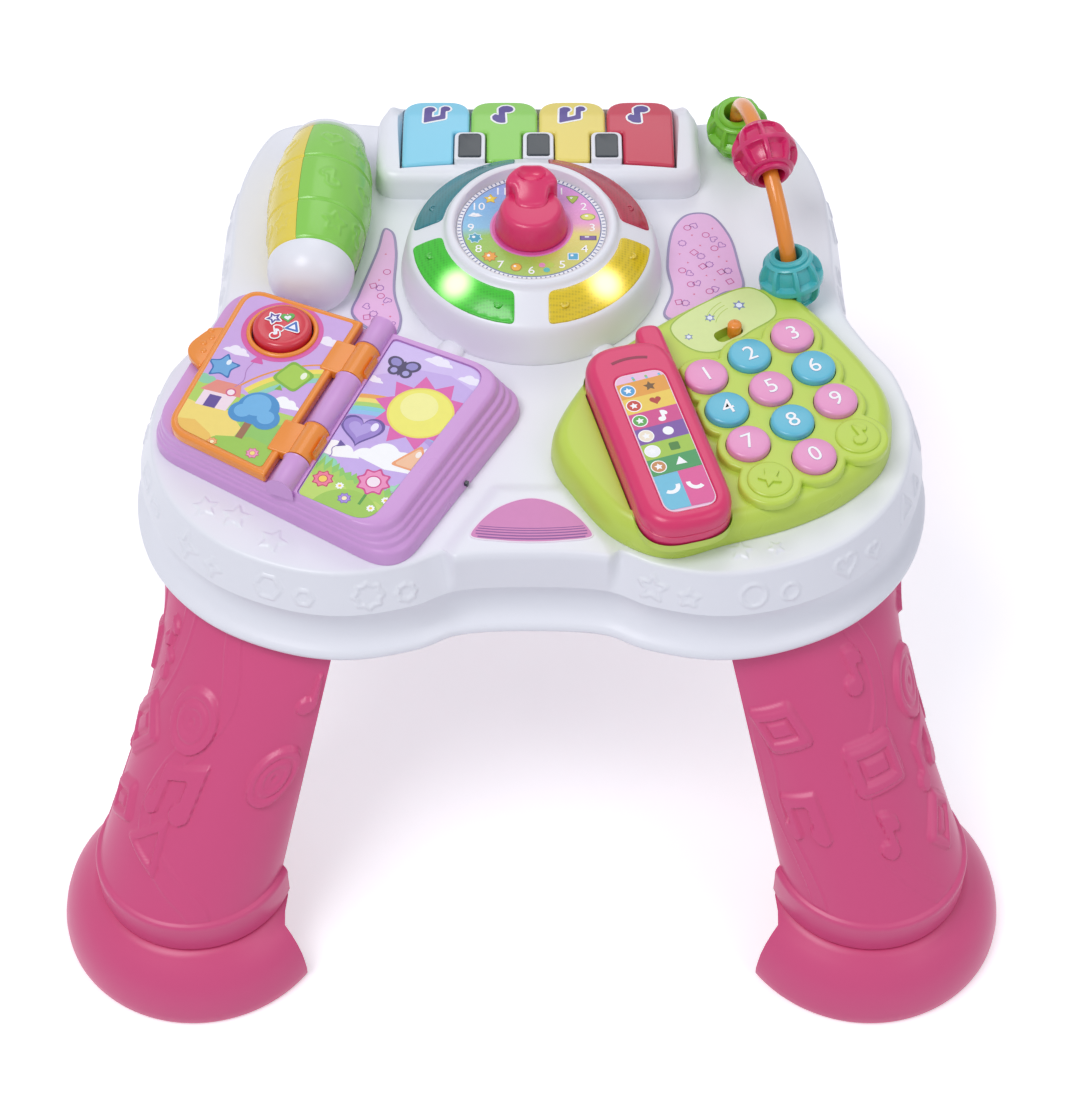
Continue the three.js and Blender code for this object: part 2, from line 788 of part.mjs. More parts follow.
// The orange bar: a leaning half circle on two straight feet
function beadBar() {
  const footBottom = deckHeight - barSocketDepth + clearance;
  const [back, front] = barEnds();
  const arc = Array.from({ length: arcSteps + 1 }, (_, i) => barPoint((i / arcSteps) * Math.PI));
  const { along, up } = barFrame();
  const path = [new THREE.Vector3(back.x, back.y, footBottom), ...arc];
  path.push(new THREE.Vector3(front.x, front.y, footBottom));
  return tube(path, barRadius, along.cross(up).normalize());
}

// The turned envelope of a bead, at a share of its full radius
function beadEnvelope(share) {
  const outer = beadShares.map(([radius, height]) => {
    const reach = Math.max(radius * share * beadRadius, beadCollarRadius);
    return [reach, height * beadHalfHeight];
  });
  const bore = [[beadBoreRadius, beadHalfHeight], [beadBoreRadius, -beadHalfHeight]];
  return turned([...outer, ...bore, outer[0]], beadRibs);
}

// A ribbed bead with a raised ring round its middle, bored along Z
function bead() {
  const hull = beadEnvelope(1);
  let body = beadEnvelope(beadCoreShare);
  for (let i = 0; i < beadRibs / 2; i += 1) {
    const rib = new THREE.BoxGeometry(2 * beadRadius, beadRibThickness, 2 * beadHalfHeight);
    rib.rotateZ((i / beadRibs) * 2 * Math.PI);
    body = body.add(solid(rib).intersect(hull));
  }
  const belt = new THREE.BoxGeometry(2 * beadRadius, 2 * beadRadius, 2 * beadRibThickness);
  return body.add(solid(belt).intersect(hull));
}

// The three beads at rest on the bar
function addBeads() {
  const kinds = [['bead_green', '#7cc832'], ['bead_pink', '#d8246e'], ['bead_teal', '#4dbfc4']];
  kinds.forEach(([name, color], i) => {
    const group = new THREE.Group();
    group.position.copy(barPoint(beadAngles[i]));
    group.quaternion.setFromUnitVectors(new THREE.Vector3(0, 0, 1), barTangent(beadAngles[i]));
    table.add(group);
    piece(group, name, bead(), finish(color, 0.3));
  });
}

// The tray corner above a leg: points from the front end of its arc to the back end, right side
function cornerArc([start, end], inset) {
  return Array.from({ length: legSteps + 1 }, (_, i) => {
    const place = (start + (end - start) * (i / legSteps)) / 2;
    const point = trayCurve.getPointAt(place);
    const along = trayCurve.getTangentAt(place);
    return new THREE.Vector2(point.x - along.y * inset, point.y + along.x * inset);
  });
}

// A leg's top: its corner arc, the middle of its open side, and the directions along and inward
function legTop(shares) {
  const arc = cornerArc(shares, legTopInset);
  const along = arc.at(-1).clone().sub(arc[0]).normalize();
  const inward = new THREE.Vector2(-along.y, along.x);
  const middle = arc[0].clone().add(arc.at(-1)).multiplyScalar(0.5);
  return { arc, along, inward, middle };
}

// A spigot-shaped prism grown by a margin, over the middle of a leg's top
function spigotPrism({ along, inward, middle }, grow, bottom, top) {
  const centre = middle.clone().addScaledVector(inward, spigotInset);
  const corners = rectangle(spigotWidth / 2 + grow, spigotDepth / 2 + grow).map(([a, b]) => {
    return centre.clone().addScaledVector(along, a).addScaledVector(inward, b);
  });
  return prism(corners, bottom, top);
}

// A C-shaped ring of a leg about a centre, open toward the table's middle
function legRing(centre, outward, radius, openInset, height) {
  const half = Math.acos(-openInset / radius);
  const spread = Array.from({ length: legSteps + 1 }, (_, i) => outward - half + (i / legSteps) * 2 * half);
  const at = (reach, angle) => new THREE.Vector3(centre.x + reach * Math.cos(angle),
    centre.y + reach * Math.sin(angle), height);
  const outer = spread.map((angle) => at(radius, angle));
  const inner = spread.map((angle) => at(radius - legWall, angle)).reverse();
  return [...outer, ...inner];
}

// A right-hand leg: a C-shaped shaft that runs from the tray's corner to a flared round foot
function leg(shares, foot, outward) {
  const top = legTop(shares);
  const reach = new THREE.Vector2(Math.cos(outward), Math.sin(outward));
  const collarCentre = foot.clone().addScaledVector(reach, -legCollarSetBack);
  const rings = bellShares.map(([height, share]) => {
    const radius = bellNeckRadius + share * (bellRadius - bellNeckRadius);
    return legRing(foot, outward, radius, bellOpenInset, height * legCollarFoot);
  });
  const collar = [[legCollarFoot + clearance, 0], [legCollarFoot + legCollarStep, legCollarStep],
    [legCollarHeight - legCollarStep, legCollarStep], [legCollarHeight, 0]];
  collar.forEach(([height, step]) => {
    rings.push(legRing(collarCentre, outward, legRadius + step + clearance, legOpenInset, height));
  });
  const shaftTop = lipHeight + legTopRise;
  const topInner = top.arc.map((point, i) => {
    const before = top.arc[Math.max(i - 1, 0)];
    const after = top.arc[Math.min(i + 1, legSteps)];
    const along = after.clone().sub(before).normalize();
    return new THREE.Vector2(point.x - along.y * legWall, point.y + along.x * legWall);
  }).reverse();
  const topRing = ringAt([...top.arc, ...topInner], shaftTop);
  const lowRing = legRing(collarCentre, outward, legRadius, legOpenInset, legCollarHeight + clearance);
  legBlendShares.forEach((share) => {
    rings.push(lowRing.map((point, i) => point.clone().lerp(topRing[i], share)));
  });
  const flange = [...top.arc, top.arc.at(-1).clone().addScaledVector(top.inward, legFlange),
    top.arc[0].clone().addScaledVector(top.inward, legFlange)];
  const plate = prism(flange, shaftTop - legTopPlate, shaftTop);
  const spigot = spigotPrism(top, 0, shaftTop - legTopPlate / 2, shaftTop + spigotHeight)
    .subtract(spigotPrism(top, -spigotWall, shaftTop, shaftTop + spigotHeight + overrun));
  return loft(rings).add(plate).add(spigot);
}

// A solid mirrored to the other side of the table
function mirrored(body) {
  return body.mirror([1, 0, 0]);
}

// All four legs
function addLegs() {
  const front = leg(frontLegShares, new THREE.Vector2(trayHalfWidth - footInset,
    -trayFrontReach - footFrontSplay), -Math.PI / 4);
  const back = leg(backLegShares, new THREE.Vector2(trayHalfWidth - footBackInset,
    trayBackReach - footBackSetIn), legBackTurn);
  piece(table, 'leg_front_right', front, pink);
  piece(table, 'leg_front_left', mirrored(front), pink);
  piece(table, 'leg_back_right', back, pink);
  piece(table, 'leg_back_left', mirrored(back), pink);
}

// The underside: floor plate, leg sockets, screw bosses, battery box, speaker ring and board posts
function bottomShell() {
  const plateTop = floorPlateHeight + floorPlate;
  const edge = -recessDepth - shellWall - clearance;
  let shell = loft([trayRing(floorPlateHeight, edge, 0), trayRing(plateTop, edge, 0)]);
  const tops = [legTop(frontLegShares), legTop(backLegShares)];
  const socketTop = plateTop + spigotHeight + clearance;
  tops.forEach((top) => {
    const collar = spigotPrism(top, clearance + shellWall, floorPlateHeight, socketTop);
    const hole = spigotPrism(top, clearance, floorPlateHeight - overrun, socketTop + overrun);
    shell = shell.add(collar).add(mirrored(collar)).subtract(hole).subtract(mirrored(hole));
  });
  bossShares.map(trayPlace).forEach(([x, y]) => {
    const bossTop = deckHeight - shellWall - clearance;
    shell = shell.add(post(bossRadius, x, y, floorPlateHeight, bossTop, smallSteps / 2));
    shell = shell.add(post(bossRadius, -x, y, floorPlateHeight, bossTop, smallSteps / 2));
  });
  const [halfX, halfY] = [batteryWidth / 2, batteryDepth / 2];
  const at = (inset) => prismOf(rectangle(halfX - inset, halfY - inset, batteryX, batteryY));
  shell = shell.add(at(-shellWall)(floorPlateHeight, plateTop + batteryBoxHeight + shellWall));
  shell = shell.subtract(at(0)(floorPlateHeight - overrun, plateTop));
  shell = shell.subtract(at(doorLip)(floorPlateHeight, plateTop + batteryBoxHeight));
  const seatRadius = speakerRadius + clearance;
  const ring = post(seatRadius + shellWall, speakerX, speakerY, floorPlateHeight, plateTop + postHeight)
    .subtract(post(seatRadius, speakerX, speakerY, plateTop, plateTop + postHeight + overrun));
  shell = shell.add(ring);
  for (let i = 0; i < grilleHoles; i += 1) {
    const angle = (i / grilleHoles) * 2 * Math.PI;
    const [x, y] = [speakerX + Math.cos(angle) * speakerRadius / 2,
      speakerY + Math.sin(angle) * speakerRadius / 2];
    shell = shell.subtract(post(grilleHoleRadius, x, y, floorPlateHeight - overrun, plateTop + overrun, 8));
  }
  rectangle(boardWidth / 2 - 2 * postRadius, boardDepth / 2 - 2 * postRadius, boardX, boardY)
    .forEach(([x, y]) => {
      shell = shell.add(post(postRadius, x, y, floorPlateHeight, plateTop + postHeight, smallSteps / 2));
    });
  return shell;
}

// A function that raises a polygon between two heights
function prismOf(corners) {
  const points = corners.map(([x, y]) => new THREE.Vector2(x, y));
  return (bottom, top) => prism(points, bottom, top);
}

// The battery door, the two cells, the circuit board and the speaker
function addElectronics() {
  const plateTop = floorPlateHeight + floorPlate;
  const door = prismOf(rectangle(batteryWidth / 2 - clearance, batteryDepth / 2 - clearance, batteryX,
    batteryY));
  piece(table, 'battery_door', door(floorPlateHeight, plateTop - clearance), pink);
  [-1, 1].forEach((side) => {
    const cell = rodAlongX(cellRadius, -cellLength / 2, cellLength / 2,
      batteryY + side * (cellRadius + clearance), plateTop + clearance + cellRadius);
    piece(table, side < 0 ? 'battery_left' : 'battery_right', cell, steel);
  });
  const boardBottom = plateTop + postHeight + clearance;
  const board = prismOf(rectangle(boardWidth / 2, boardDepth / 2, boardX, boardY));
  piece(table, 'circuit_board', board(boardBottom, boardBottom + boardThickness), boardGreen);
  const speakerBottom = plateTop + clearance;
  const speaker = post(speakerRadius, speakerX, speakerY, speakerBottom,
    speakerBottom + speakerThickness / 2)
    .add(post(speakerRadius / 2, speakerX, speakerY, speakerBottom, speakerBottom + speakerThickness));
  piece(table, 'speaker', speaker, dark);
}

// Boxes along the dome's cross bars, widened by a margin
function domeCross(margin) {
  const tall = rimTopHeight;
  const front = new THREE.BoxGeometry(2 * (barHalfWidthFront + margin), 4 * domeBaseRadius, tall);
  const side = new THREE.BoxGeometry(4 * domeBaseRadius, 2 * (barHalfWidthSide + margin), tall);
  front.translate(0, 0, deckHeight);
  side.translate(0, 0, deckHeight);
  return solid(front).add(solid(side));
}

// The white dome with its dial recess and four lens pockets
function clockDome() {
  const floor = dialHeight - dialThickness - clearance;
  const base = deckHeight + clearance;
  const profile = [
    [domeBaseRadius, base], [domeBaseRadius - 0.5 * clearance, base + 2 * shellWall],
    [domeShoulderRadius + shellWall, domeShoulderHeight - 2.4 * shellWall],
    [domeShoulderRadius + clearance, domeShoulderHeight - clearance], [lensOuterRadius + 2 * clearance,
      domeShoulderHeight],
    [lensInnerRadius, lensInnerHeight + 3 * clearance], [lensInnerRadius - 5 * clearance,
      rimTopHeight - 3 * clearance],
    [rimTopRadius, rimTopHeight], [dialRadius + 4 * clearance, rimTopHeight - clearance],
    [dialRadius + clearance, rimTopHeight - shellWall], [dialRadius + clearance, floor],
    [spindleRadius + runningGap, floor], [spindleRadius + runningGap, floor - shellWall],
    [dialRadius - shellWall, floor - shellWall], [rimTopRadius, floor - 2.2 * shellWall],
    [lensOuterRadius - shellWall, lensOuterHeight - 2.4 * shellWall],
    [domeShoulderRadius, domeShoulderHeight - 4 * shellWall], [domeBaseRadius - shellWall, base],
    [domeBaseRadius, base],
  ];
  const grow = 1.5 * clearance;
  const depth = lensThickness + grow;
  const pocket = turned([
    [lensOuterRadius + grow, lensOuterHeight - depth], [lensOuterRadius + grow, lensOuterHeight + overrun],
    [lensInnerRadius - grow / 2, lensInnerHeight + overrun], [lensInnerRadius - grow / 2,
      lensInnerHeight - depth],
    [lensOuterRadius + grow, lensOuterHeight - depth],
  ]).subtract(domeCross(0));
  const behind = new THREE.BoxGeometry(2 * domeBaseRadius, domeBaseRadius, pianoLedgeHeight);
  behind.translate(0, pianoFront - clearance - domeY + domeBaseRadius / 2,
    pianoLedgeHeight / 2 + clearance);
  return turned(profile, domeSteps).subtract(pocket).subtract(solid(behind));
}

// The clock: dome, dial, four lenses, and the knob on its spindle
function addClock() {
  const group = placedGroup(0, domeY, 0, 0);
  piece(group, 'clock_dome', clockDome(), white);
  const top = dialHeight;
  const dial = post(dialRadius, 0, 0, top - dialThickness, top, roundSteps)
    .subtract(post(spindleRadius + runningGap, 0, 0, top - overrun, top + overrun));
  piece(group, 'dial_face', dial, printed);
  const ring = turned([
    [lensOuterRadius, lensOuterHeight - lensThickness], [lensOuterRadius, lensOuterHeight],
    [lensInnerRadius, lensInnerHeight], [lensInnerRadius, lensInnerHeight - lensThickness],
    [lensOuterRadius, lensOuterHeight - lensThickness],
  ]).subtract(domeCross(1.5 * clearance));
  const lenses = [['lens_yellow', '#f0dc3a', 1, -1], ['lens_green', '#5cd83a', -1, -1],
    ['lens_teal', '#2e8a9a', -1, 1], ['lens_red', '#c62a50', 1, 1]];
  lenses.forEach(([name, color, sideX, sideY]) => {
    const reach = domeBaseRadius;
    const quarter = prismOf(rectangle(reach / 2, reach / 2, sideX * reach / 2, sideY * reach / 2));
    piece(group, name, ring.intersect(quarter(deckHeight, rimTopHeight)), finish(color, 0.15));
  });
  addKnob(group);
}

// The pink knob with a raised pointer, on a spindle that snaps under the dial recess
function addKnob(group) {
  const base = dialHeight + 2 * clearance;
  const socket = base + spindleLength / 2;
  const dome = knobShares.map(([radius, height]) => [radius * knobRadius, base + height * knobHeight]);
  let knob = turned([[0, base], ...dome]);
  const pointer = roundedOutline(rectangle(knobHeadHalfWidth - knobHeadRound,
    (knobHeadBack - knobHeadFront) / 2,
    0, (knobHeadBack + knobHeadFront) / 2), knobHeadRound);
  const lobes = roundedOutline(rectangle(knobHeadHalfWidth, knobHeadRound, 0,
    knobHeadBack - 1.5 * knobHeadRound),
    knobHeadRound - clearance);
  const lobeBase = base + knobHeadBase;
  knob = knob.add(taperedPrism(pointer, base + clearance, base + knobHeadHeight, 0, knobHeadRound / 2));
  knob = knob.add(taperedPrism(lobes, lobeBase, base + knobHeadHeight - knobHeadRound / 2, 0,
    knobHeadRound / 3));
  knob = knob.subtract(post(spindleRadius + clearance, 0, 0, base - overrun, socket + clearance));
  piece(group, 'clock_knob', knob, magenta);
  const under = dialHeight - dialThickness - clearance - shellWall - 2 * clearance;
  const spindle = turned([[0, under - shellWall], [2 * spindleRadius, under - shellWall],
    [2 * spindleRadius, under], [spindleRadius, under], [spindleRadius, socket], [0, socket]], smallSteps);
  piece(group, 'clock_spindle', spindle, steel);
}

// Two far corners of a four-sided plan rounded off, where the near corners stay sharp
function farCorners([first, second], radius) {
  const corners = [first, second].map(([x, y]) => new THREE.Vector2(x, y));
  const across = corners[1].clone().sub(corners[0]).setLength(radius);
  const down = new THREE.Vector2(-across.y, across.x);
  const shape = new THREE.Path();
  shape.moveTo(corners[0].x + down.x, corners[0].y + down.y);
  shape.quadraticCurveTo(corners[0].x, corners[0].y, corners[0].x + across.x, corners[0].y + across.y);
  shape.lineTo(corners[1].x - across.x, corners[1].y - across.y);
  shape.quadraticCurveTo(corners[1].x, corners[1].y, corners[1].x + down.x, corners[1].y + down.y);
  return shape.getPoints(cornerSteps);
}

// The left edge of each key
function keyEdges() {
  const pitch = keyWidth + keyGap;
  return [0, 1, 2, 3].map((i) => pianoX - 2 * pitch + keyGap / 2 + i * pitch);
}

// The white housing with its ledge, key bed, pivot rod seats and black key walls
function pianoHousing() {
  const base = deckHeight + clearance;
  const middle = (pianoFront + pianoBack) / 2;
  const plan = rectangle(pianoHalfWidth, (pianoBack - pianoFront) / 2, pianoX, middle);
  let body = taperedPrism(roundedOutline(plan, pianoCornerRadius), base, pianoLedgeHeight, shellWall / 2,
    shellWall);
  const bed = prismOf([[pianoX - bedHalfWidth, keyFront - keyGap], [pianoX + bedHalfWidth,
    keyFront - keyGap],
    [pianoX + bedHalfWidth, pianoBack + overrun], [pianoX - bedHalfWidth, pianoBack + overrun]]);
  body = body.subtract(bed(pianoBedHeight, pianoLedgeHeight + overrun));
  const ledgeInside = pianoFront + 1.3 * shellWall;
  const under = prismOf([[pianoX - bedHalfWidth, ledgeInside], [pianoX + bedHalfWidth, ledgeInside],
    [pianoX + bedHalfWidth, keyFront], [pianoX - bedHalfWidth, keyFront]]);
  body = body.subtract(under(pianoBedHeight, pianoLedgeHeight - pianoLedgeThickness));
  const hollow = rectangle(pianoHalfWidth - 2 * shellWall, (pianoBack - pianoFront) / 2 - 2 * shellWall,
    pianoX, middle);
  body = body.subtract(prismOf(hollow)(base - overrun, pianoBedHeight - shellWall));
  keyEdges().slice(1).forEach((edge) => {
    const x = edge - keyGap / 2;
    const half = blackKeyWidth / 2 + clearance;
    const back = keyFront + blackKeyLength + clearance;
    const walls = prismOf([[x - half - blackWall, keyFront - keyGap], [x + half + blackWall,
      keyFront - keyGap],
      [x + half + blackWall, back + blackWall], [x - half - blackWall, back + blackWall]]);
    const well = prismOf([[x - half, keyFront - clearance], [x + half, keyFront - clearance], [x + half,
      back], [x - half, back]]);
    body = body.add(walls(pianoBedHeight - clearance, blackWallTop));
    body = body.subtract(well(pianoBedHeight + clearance, blackWallTop + overrun));
  });
  const seat = rodAlongX(keyRodRadius + keyRodGap, pianoX - bedHalfWidth - overrun,
    pianoX + bedHalfWidth + overrun,
    keyPivotY, keyPivotHeight);
  return body.subtract(seat);
}

// One piano key with its hinge lug and the notches beside the black keys
function pianoKey(edge, notchLeft, notchRight) {
  const middle = edge + keyWidth / 2;
  const depth = keyBack - keyFront;
  const plan = rectangle(keyWidth / 2, depth / 2, middle, (keyFront + keyBack) / 2);
  const outer = [new THREE.Vector2(...plan[0]), new THREE.Vector2(...plan[1]),
    ...farCorners(plan.slice(2), keyCornerRadius)];
  let body = taperedPrism(outer, keyBottom, keyTop, 0, shellWall);
  const notchDepth = keyFront + blackKeyLength + blackWall + keyGap;
  const notchHalf = blackKeyWidth / 2 + blackWall + keyGap;
  [[notchLeft, edge - keyGap / 2], [notchRight, edge + keyWidth + keyGap / 2]].forEach(([wanted, x]) => {
    if (wanted) {
      const notch = prismOf([[x - notchHalf, keyFront - overrun], [x + notchHalf, keyFront - overrun],
        [x + notchHalf, notchDepth], [x - notchHalf, notchDepth]]);
      body = body.subtract(notch(keyBottom - overrun, keyTop + overrun));
    }
  });
  const inner = [[edge + shellWall, notchDepth + shellWall], [edge + keyWidth - shellWall,
    notchDepth + shellWall],
    [edge + keyWidth - keyCornerRadius / 2, keyBack - 2 * shellWall], [edge + keyCornerRadius / 2,
      keyBack - 2 * shellWall]];
  body = body.subtract(prismOf(inner)(keyBottom - overrun, keyTop - 2 * shellWall));
  const lugStart = middle - keyLugWidth / 2;
  const neck = prismOf([[lugStart, keyPivotY], [lugStart + keyLugWidth, keyPivotY],
    [lugStart + keyLugWidth, keyFront + overrun], [lugStart, keyFront + overrun]]);
  const lug = rodAlongX(keyLugRadius, lugStart, lugStart + keyLugWidth, keyPivotY, keyPivotHeight);
  const bore = rodAlongX(keyRodRadius + keyRodGap, lugStart - overrun, lugStart + keyLugWidth + overrun,
    keyPivotY, keyPivotHeight);
  return body.add(neck(keyBottom - clearance, keyBottom + keyNeckThickness)).add(lug).subtract(bore);
}

// The housing, keys, black keys and the rod the keys turn on
function addPiano() {
  piece(table, 'piano_housing', pianoHousing(), white);
  const colors = [['blue', '#8ddbf2'], ['green', '#9bdc6c'], ['yellow', '#f0e07c'], ['red', '#d23c5a']];
  const edges = keyEdges();
  colors.forEach(([name, color], i) => {
    piece(table, `piano_key_${name}`, pianoKey(edges[i], i > 0, i < 3), finish(color, 0.25));
  });
  edges.slice(1).forEach((edge, i) => {
    const x = edge - keyGap / 2;
    const plan = rectangle(blackKeyWidth / 2, blackKeyLength / 2, x, keyFront + blackKeyLength / 2);
    const body = taperedPrism(roundedOutline(plan, shellWall), pianoBedHeight + 2 * clearance, blackKeyTop,
      0, shellWall / 2);
    piece(table, `black_key_${i + 1}`, body, dark);
  });
  const half = bedHalfWidth + overrun - clearance;
  piece(table, 'key_pivot_rod', rodAlongX(keyRodRadius, pianoX - half, pianoX + half, keyPivotY,
    keyPivotHeight),
    steel);
}

// Half of the drum's barrel, kept on the side a half turn angle faces
function drumHalf(angle) {
  const outer = drumProfile(0).map((point) => [point.x, point.y]);
  const inner = drumProfile(-shellWall).map((point) => {
    return [point.x, THREE.MathUtils.clamp(point.y, shellWall - drumFrontLength,
      drumBackLength - shellWall)];
  });
  const hub = drumAxleRadius + clearance;
  const [front, back] = [-drumFrontLength, drumBackLength];
  const profile = [[hub, front], ...outer, [hub, back], [hub, back - shellWall], ...inner.reverse(),
    [hub, front + shellWall], [hub, front]];
  const points = profile.map(([radius, y]) => new THREE.Vector2(radius, y));
  const barrel = solid(new THREE.LatheGeometry(points, roundSteps));
  const size = 2 * drumRadius;
  const keep = new THREE.BoxGeometry(size, 2 * size, 2 * size);
  keep.translate(size / 2 + clearance / 2, 0, 0);
  keep.rotateY(angle);
  return barrel.intersect(solid(keep));
}

// The two-coloured drum and its axle
function addDrum() {
  const group = placedGroup(drumX, drumY, drumHeight, drumYaw);
  piece(group, 'roller_yellow', drumHalf(drumSplitAngle), finish('#eddb63', 0.3));
  piece(group, 'roller_green', drumHalf(drumSplitAngle - Math.PI), finish('#93d85c', 0.3));
  const start = -drumFrontLength - runningGap - axleSeatDepth + clearance;
  const end = drumBackLength + runningGap + axleSeatDepth - clearance;
  piece(group, 'roller_axle', rodAlongY(drumAxleRadius, start, end), steel);
}

// The place on the book that a pair of shares gives
function bookPlace([u, v]) {
  return [u * bookReachU, v * bookReachV];
}

// The book base's plan at a share of the way from its foot to its rim
function bookPlan(share) {
  const rim = bookRimShares.map(bookPlace);
  const corners = bookFootShares.map(bookPlace).map(([u, v], i) => {
    return [u + (rim[i][0] - u) * share, v + (rim[i][1] - v) * share];
  });
  return roundedOutline(corners, bookCornerRadius);
}

// The hollow lilac book body with its spine, picture recess and button hole
function bookBase() {
  const base = deckHeight + clearance;
  const rise = bookHeight - base;
  let body = loft(bookStepShares.map(([height, share]) => ringAt(bookPlan(share), base + height * rise)));
  const far = 2 * bookReachU;
  const pageBed = prismOf([[-far, -far], [-spineRadius, -far], [-spineRadius, far], [-far, far]]);
  body = body.subtract(pageBed(bookLeftHeight, bookHeight + overrun));
  const spine = rodAlongY(spineRadius, -spineHalfLength, spineHalfLength);
  body = body.add(moved(spine, 0, 0, bookHeight));
  const under = prism(offsetOutline(bookPlan(1), -shellWall), base - overrun, bookLeftHeight - shellWall);
  const tunnel = prismOf(rectangle(spineRadius + 2 * shellWall, far))(spineTunnelHeight, bookHeight);
  body = body.subtract(under.subtract(tunnel));
  [-1, 1].forEach((side) => {
    const half = knuckleHalfLength + clearance;
    const trough = rodAlongY(spineRadius + 2 * clearance, side * knuckleCentre - half,
      side * knuckleCentre + half);
    body = body.subtract(moved(trough, 0, 0, bookHeight));
  });
  body = body.subtract(moved(rodAlongY(pinRadius + clearance, shellWall - spineHalfLength - clearance,
    spineHalfLength - shellWall + clearance), 0, 0, bookHeight));
  const picture = offsetOutline(picturePlan(), clearance);
  body = body.subtract(prism(picture, bookHeight - pictureRecess, bookHeight + overrun));
  return body.subtract(post(buttonRadius + buttonHoleGap, ...bookPlace(buttonPlaceShares), base,
    bookHeight + overrun, roundSteps));
}

// The plan of the printed picture on the right-hand page
function picturePlan() {
  const near = spineRadius + pictureSpineGap;
  const [front, back] = pictureNearShares.map((share) => [near, share * bookReachV]);
  return roundedOutline([front, ...pictureFarShares.map(bookPlace), back], bookCornerRadius / 2);
}

// The turning page with its tab, button window and two hinge knuckles
function bookPage() {
  const bottom = bookLeftHeight + pageGap;
  const top = bottom + pageThickness;
  const near = -spineRadius - pageSpineGap;
  const plan = [...pageNearShares.map((share) => new THREE.Vector2(near, share * bookReachV)),
    ...farCorners(pageFarShares.map(bookPlace), pageCornerRadius)];
  let body = taperedPrism(plan, bottom, top, 0, clearance * 3);
  const tabPlan = rectangle(pageTabReach, tabHalfWidth, ...bookPlace(pageTabShares));
  body = body.add(taperedPrism(roundedOutline(tabPlan, pageTabReach), bottom + pageGap, top - pageGap, 0,
    pageGap));
  const ring = post(pageRingRadius, ...bookPlace(buttonPlaceShares), bottom + pageGap, top + pageRingRise,
    roundSteps);
  body = body.add(ring).subtract(post(pageHoleRadius, ...bookPlace(buttonPlaceShares), bottom - overrun,
    top + overrun, roundSteps));
  [-1, 1].forEach((side) => {
    const [start, end] = [side * knuckleCentre - knuckleHalfLength,
      side * knuckleCentre + knuckleHalfLength];
    const [armFar, armNear] = [-spineRadius - 3 * shellWall, -spineRadius / 2];
    const arm = prismOf([[armFar, start], [armNear, start], [armNear, end], [armFar, end]]);
    body = body.add(arm(bottom + 3 * pageGap, top)).add(moved(rodAlongY(spineRadius, start, end), 0, 0,
      bookHeight));
  });
  return body.subtract(moved(rodAlongY(pinRadius + clearance, -spineHalfLength, spineHalfLength), 0, 0,
    bookHeight));
}

// The sprung round button that looks out through the page
function bookButton() {
  const flangeTop = bookLeftHeight - shellWall - clearance;
  const flangeBottom = flangeTop - shellWall / 1.5;
  const inside = buttonRadius - shellWall;
  const profile = [[buttonRadius + buttonFlange, flangeBottom], [buttonRadius + buttonFlange, flangeTop],
    [buttonRadius, flangeTop], [buttonRadius, buttonTop - shellWall], [buttonRadius - shellWall / 2,
      buttonTop - shellWall / 3],
    [buttonRadius - 2 * shellWall, buttonTop], [0, buttonTop + clearance], [0, buttonTop - shellWall],
    [inside, buttonTop - 1.5 * shellWall], [inside, flangeBottom], [buttonRadius + buttonFlange,
      flangeBottom]];
  return moved(turned(profile), ...bookPlace(buttonPlaceShares), 0);
}

// The book: body, page, hinge pin, picture and button
function addBook() {
  const group = placedGroup(bookX, bookY, 0, bookYaw);
  piece(group, 'book_base', bookBase(), lilac);
  piece(group, 'book_page', bookPage(), orange);
  const pin = rodAlongY(pinRadius, shellWall - spineHalfLength, spineHalfLength - shellWall,
    smallSteps / 2);
  piece(group, 'book_pin', moved(pin, 0, 0, bookHeight), steel);
  const pictureBottom = bookHeight - pictureRecess + clearance;
  piece(group, 'book_picture', prism(picturePlan(), pictureBottom, pictureBottom + pictureThickness),
    printed);
  piece(group, 'book_button', bookButton(), finish('#dc2c50', 0.25));
}

// The place of a spot on the phone's button grid, in steps along its rows and columns
function keypadSpot(row, column) {
  const centre = atHandset([new THREE.Vector2(keypadU, keypadV)])[0];
  const along = new THREE.Vector2(row * rowPitch, 0).rotateAround(new THREE.Vector2(), rowYaw);
  const down = new THREE.Vector2(column * columnPitch, 0).rotateAround(new THREE.Vector2(), columnYaw);
  return centre.add(along).add(down).toArray();
}

// The grid steps of the ten numbers from zero to nine
function numberSteps() {
  const grid = [1, 2, 3, 4, 5, 6, 7, 8, 9].map((number) => [(number - 1) % 3 - 1,
    Math.floor((number - 1) / 3) - 1]);
  return [[0, 2], ...grid];
}

// The place on the phone that a pair of shares gives
function phonePlace([x, y]) {
  return [phoneCentre.x + x * phoneHalfWidth, phoneCentre.y + y * phoneHalfDepth];
}

// The plan of the handset's body grown by a margin, at a share of its way round
function handsetPlan(grow) {
  return roundedOutline(rectangle(handsetHalfWidth + grow, handsetHalfLength + grow), handsetCornerRadius);
}

// A flat outline moved into the handset's place on the table
function atHandset(points) {
  const turnedBy = new THREE.Vector2();
  return points.map((point) => {
    turnedBy.copy(point).rotateAround(new THREE.Vector2(), handsetYaw);
    return new THREE.Vector2(turnedBy.x + handsetX, turnedBy.y + handsetY);
  });
}

// The volume slot's plan, a rounded bar along the slider's travel
function sliderSlot() {
  const plan = roundedOutline(rectangle(sliderSlotLength / 2, sliderSlotWidth / 2), sliderSlotWidth / 2);
  const [x, y] = phonePlace(sliderPlaceShares);
  return plan.map((point) => {
    point.rotateAround(new THREE.Vector2(), sliderYaw);
    return new THREE.Vector2(point.x + x, point.y + y);
  });
}

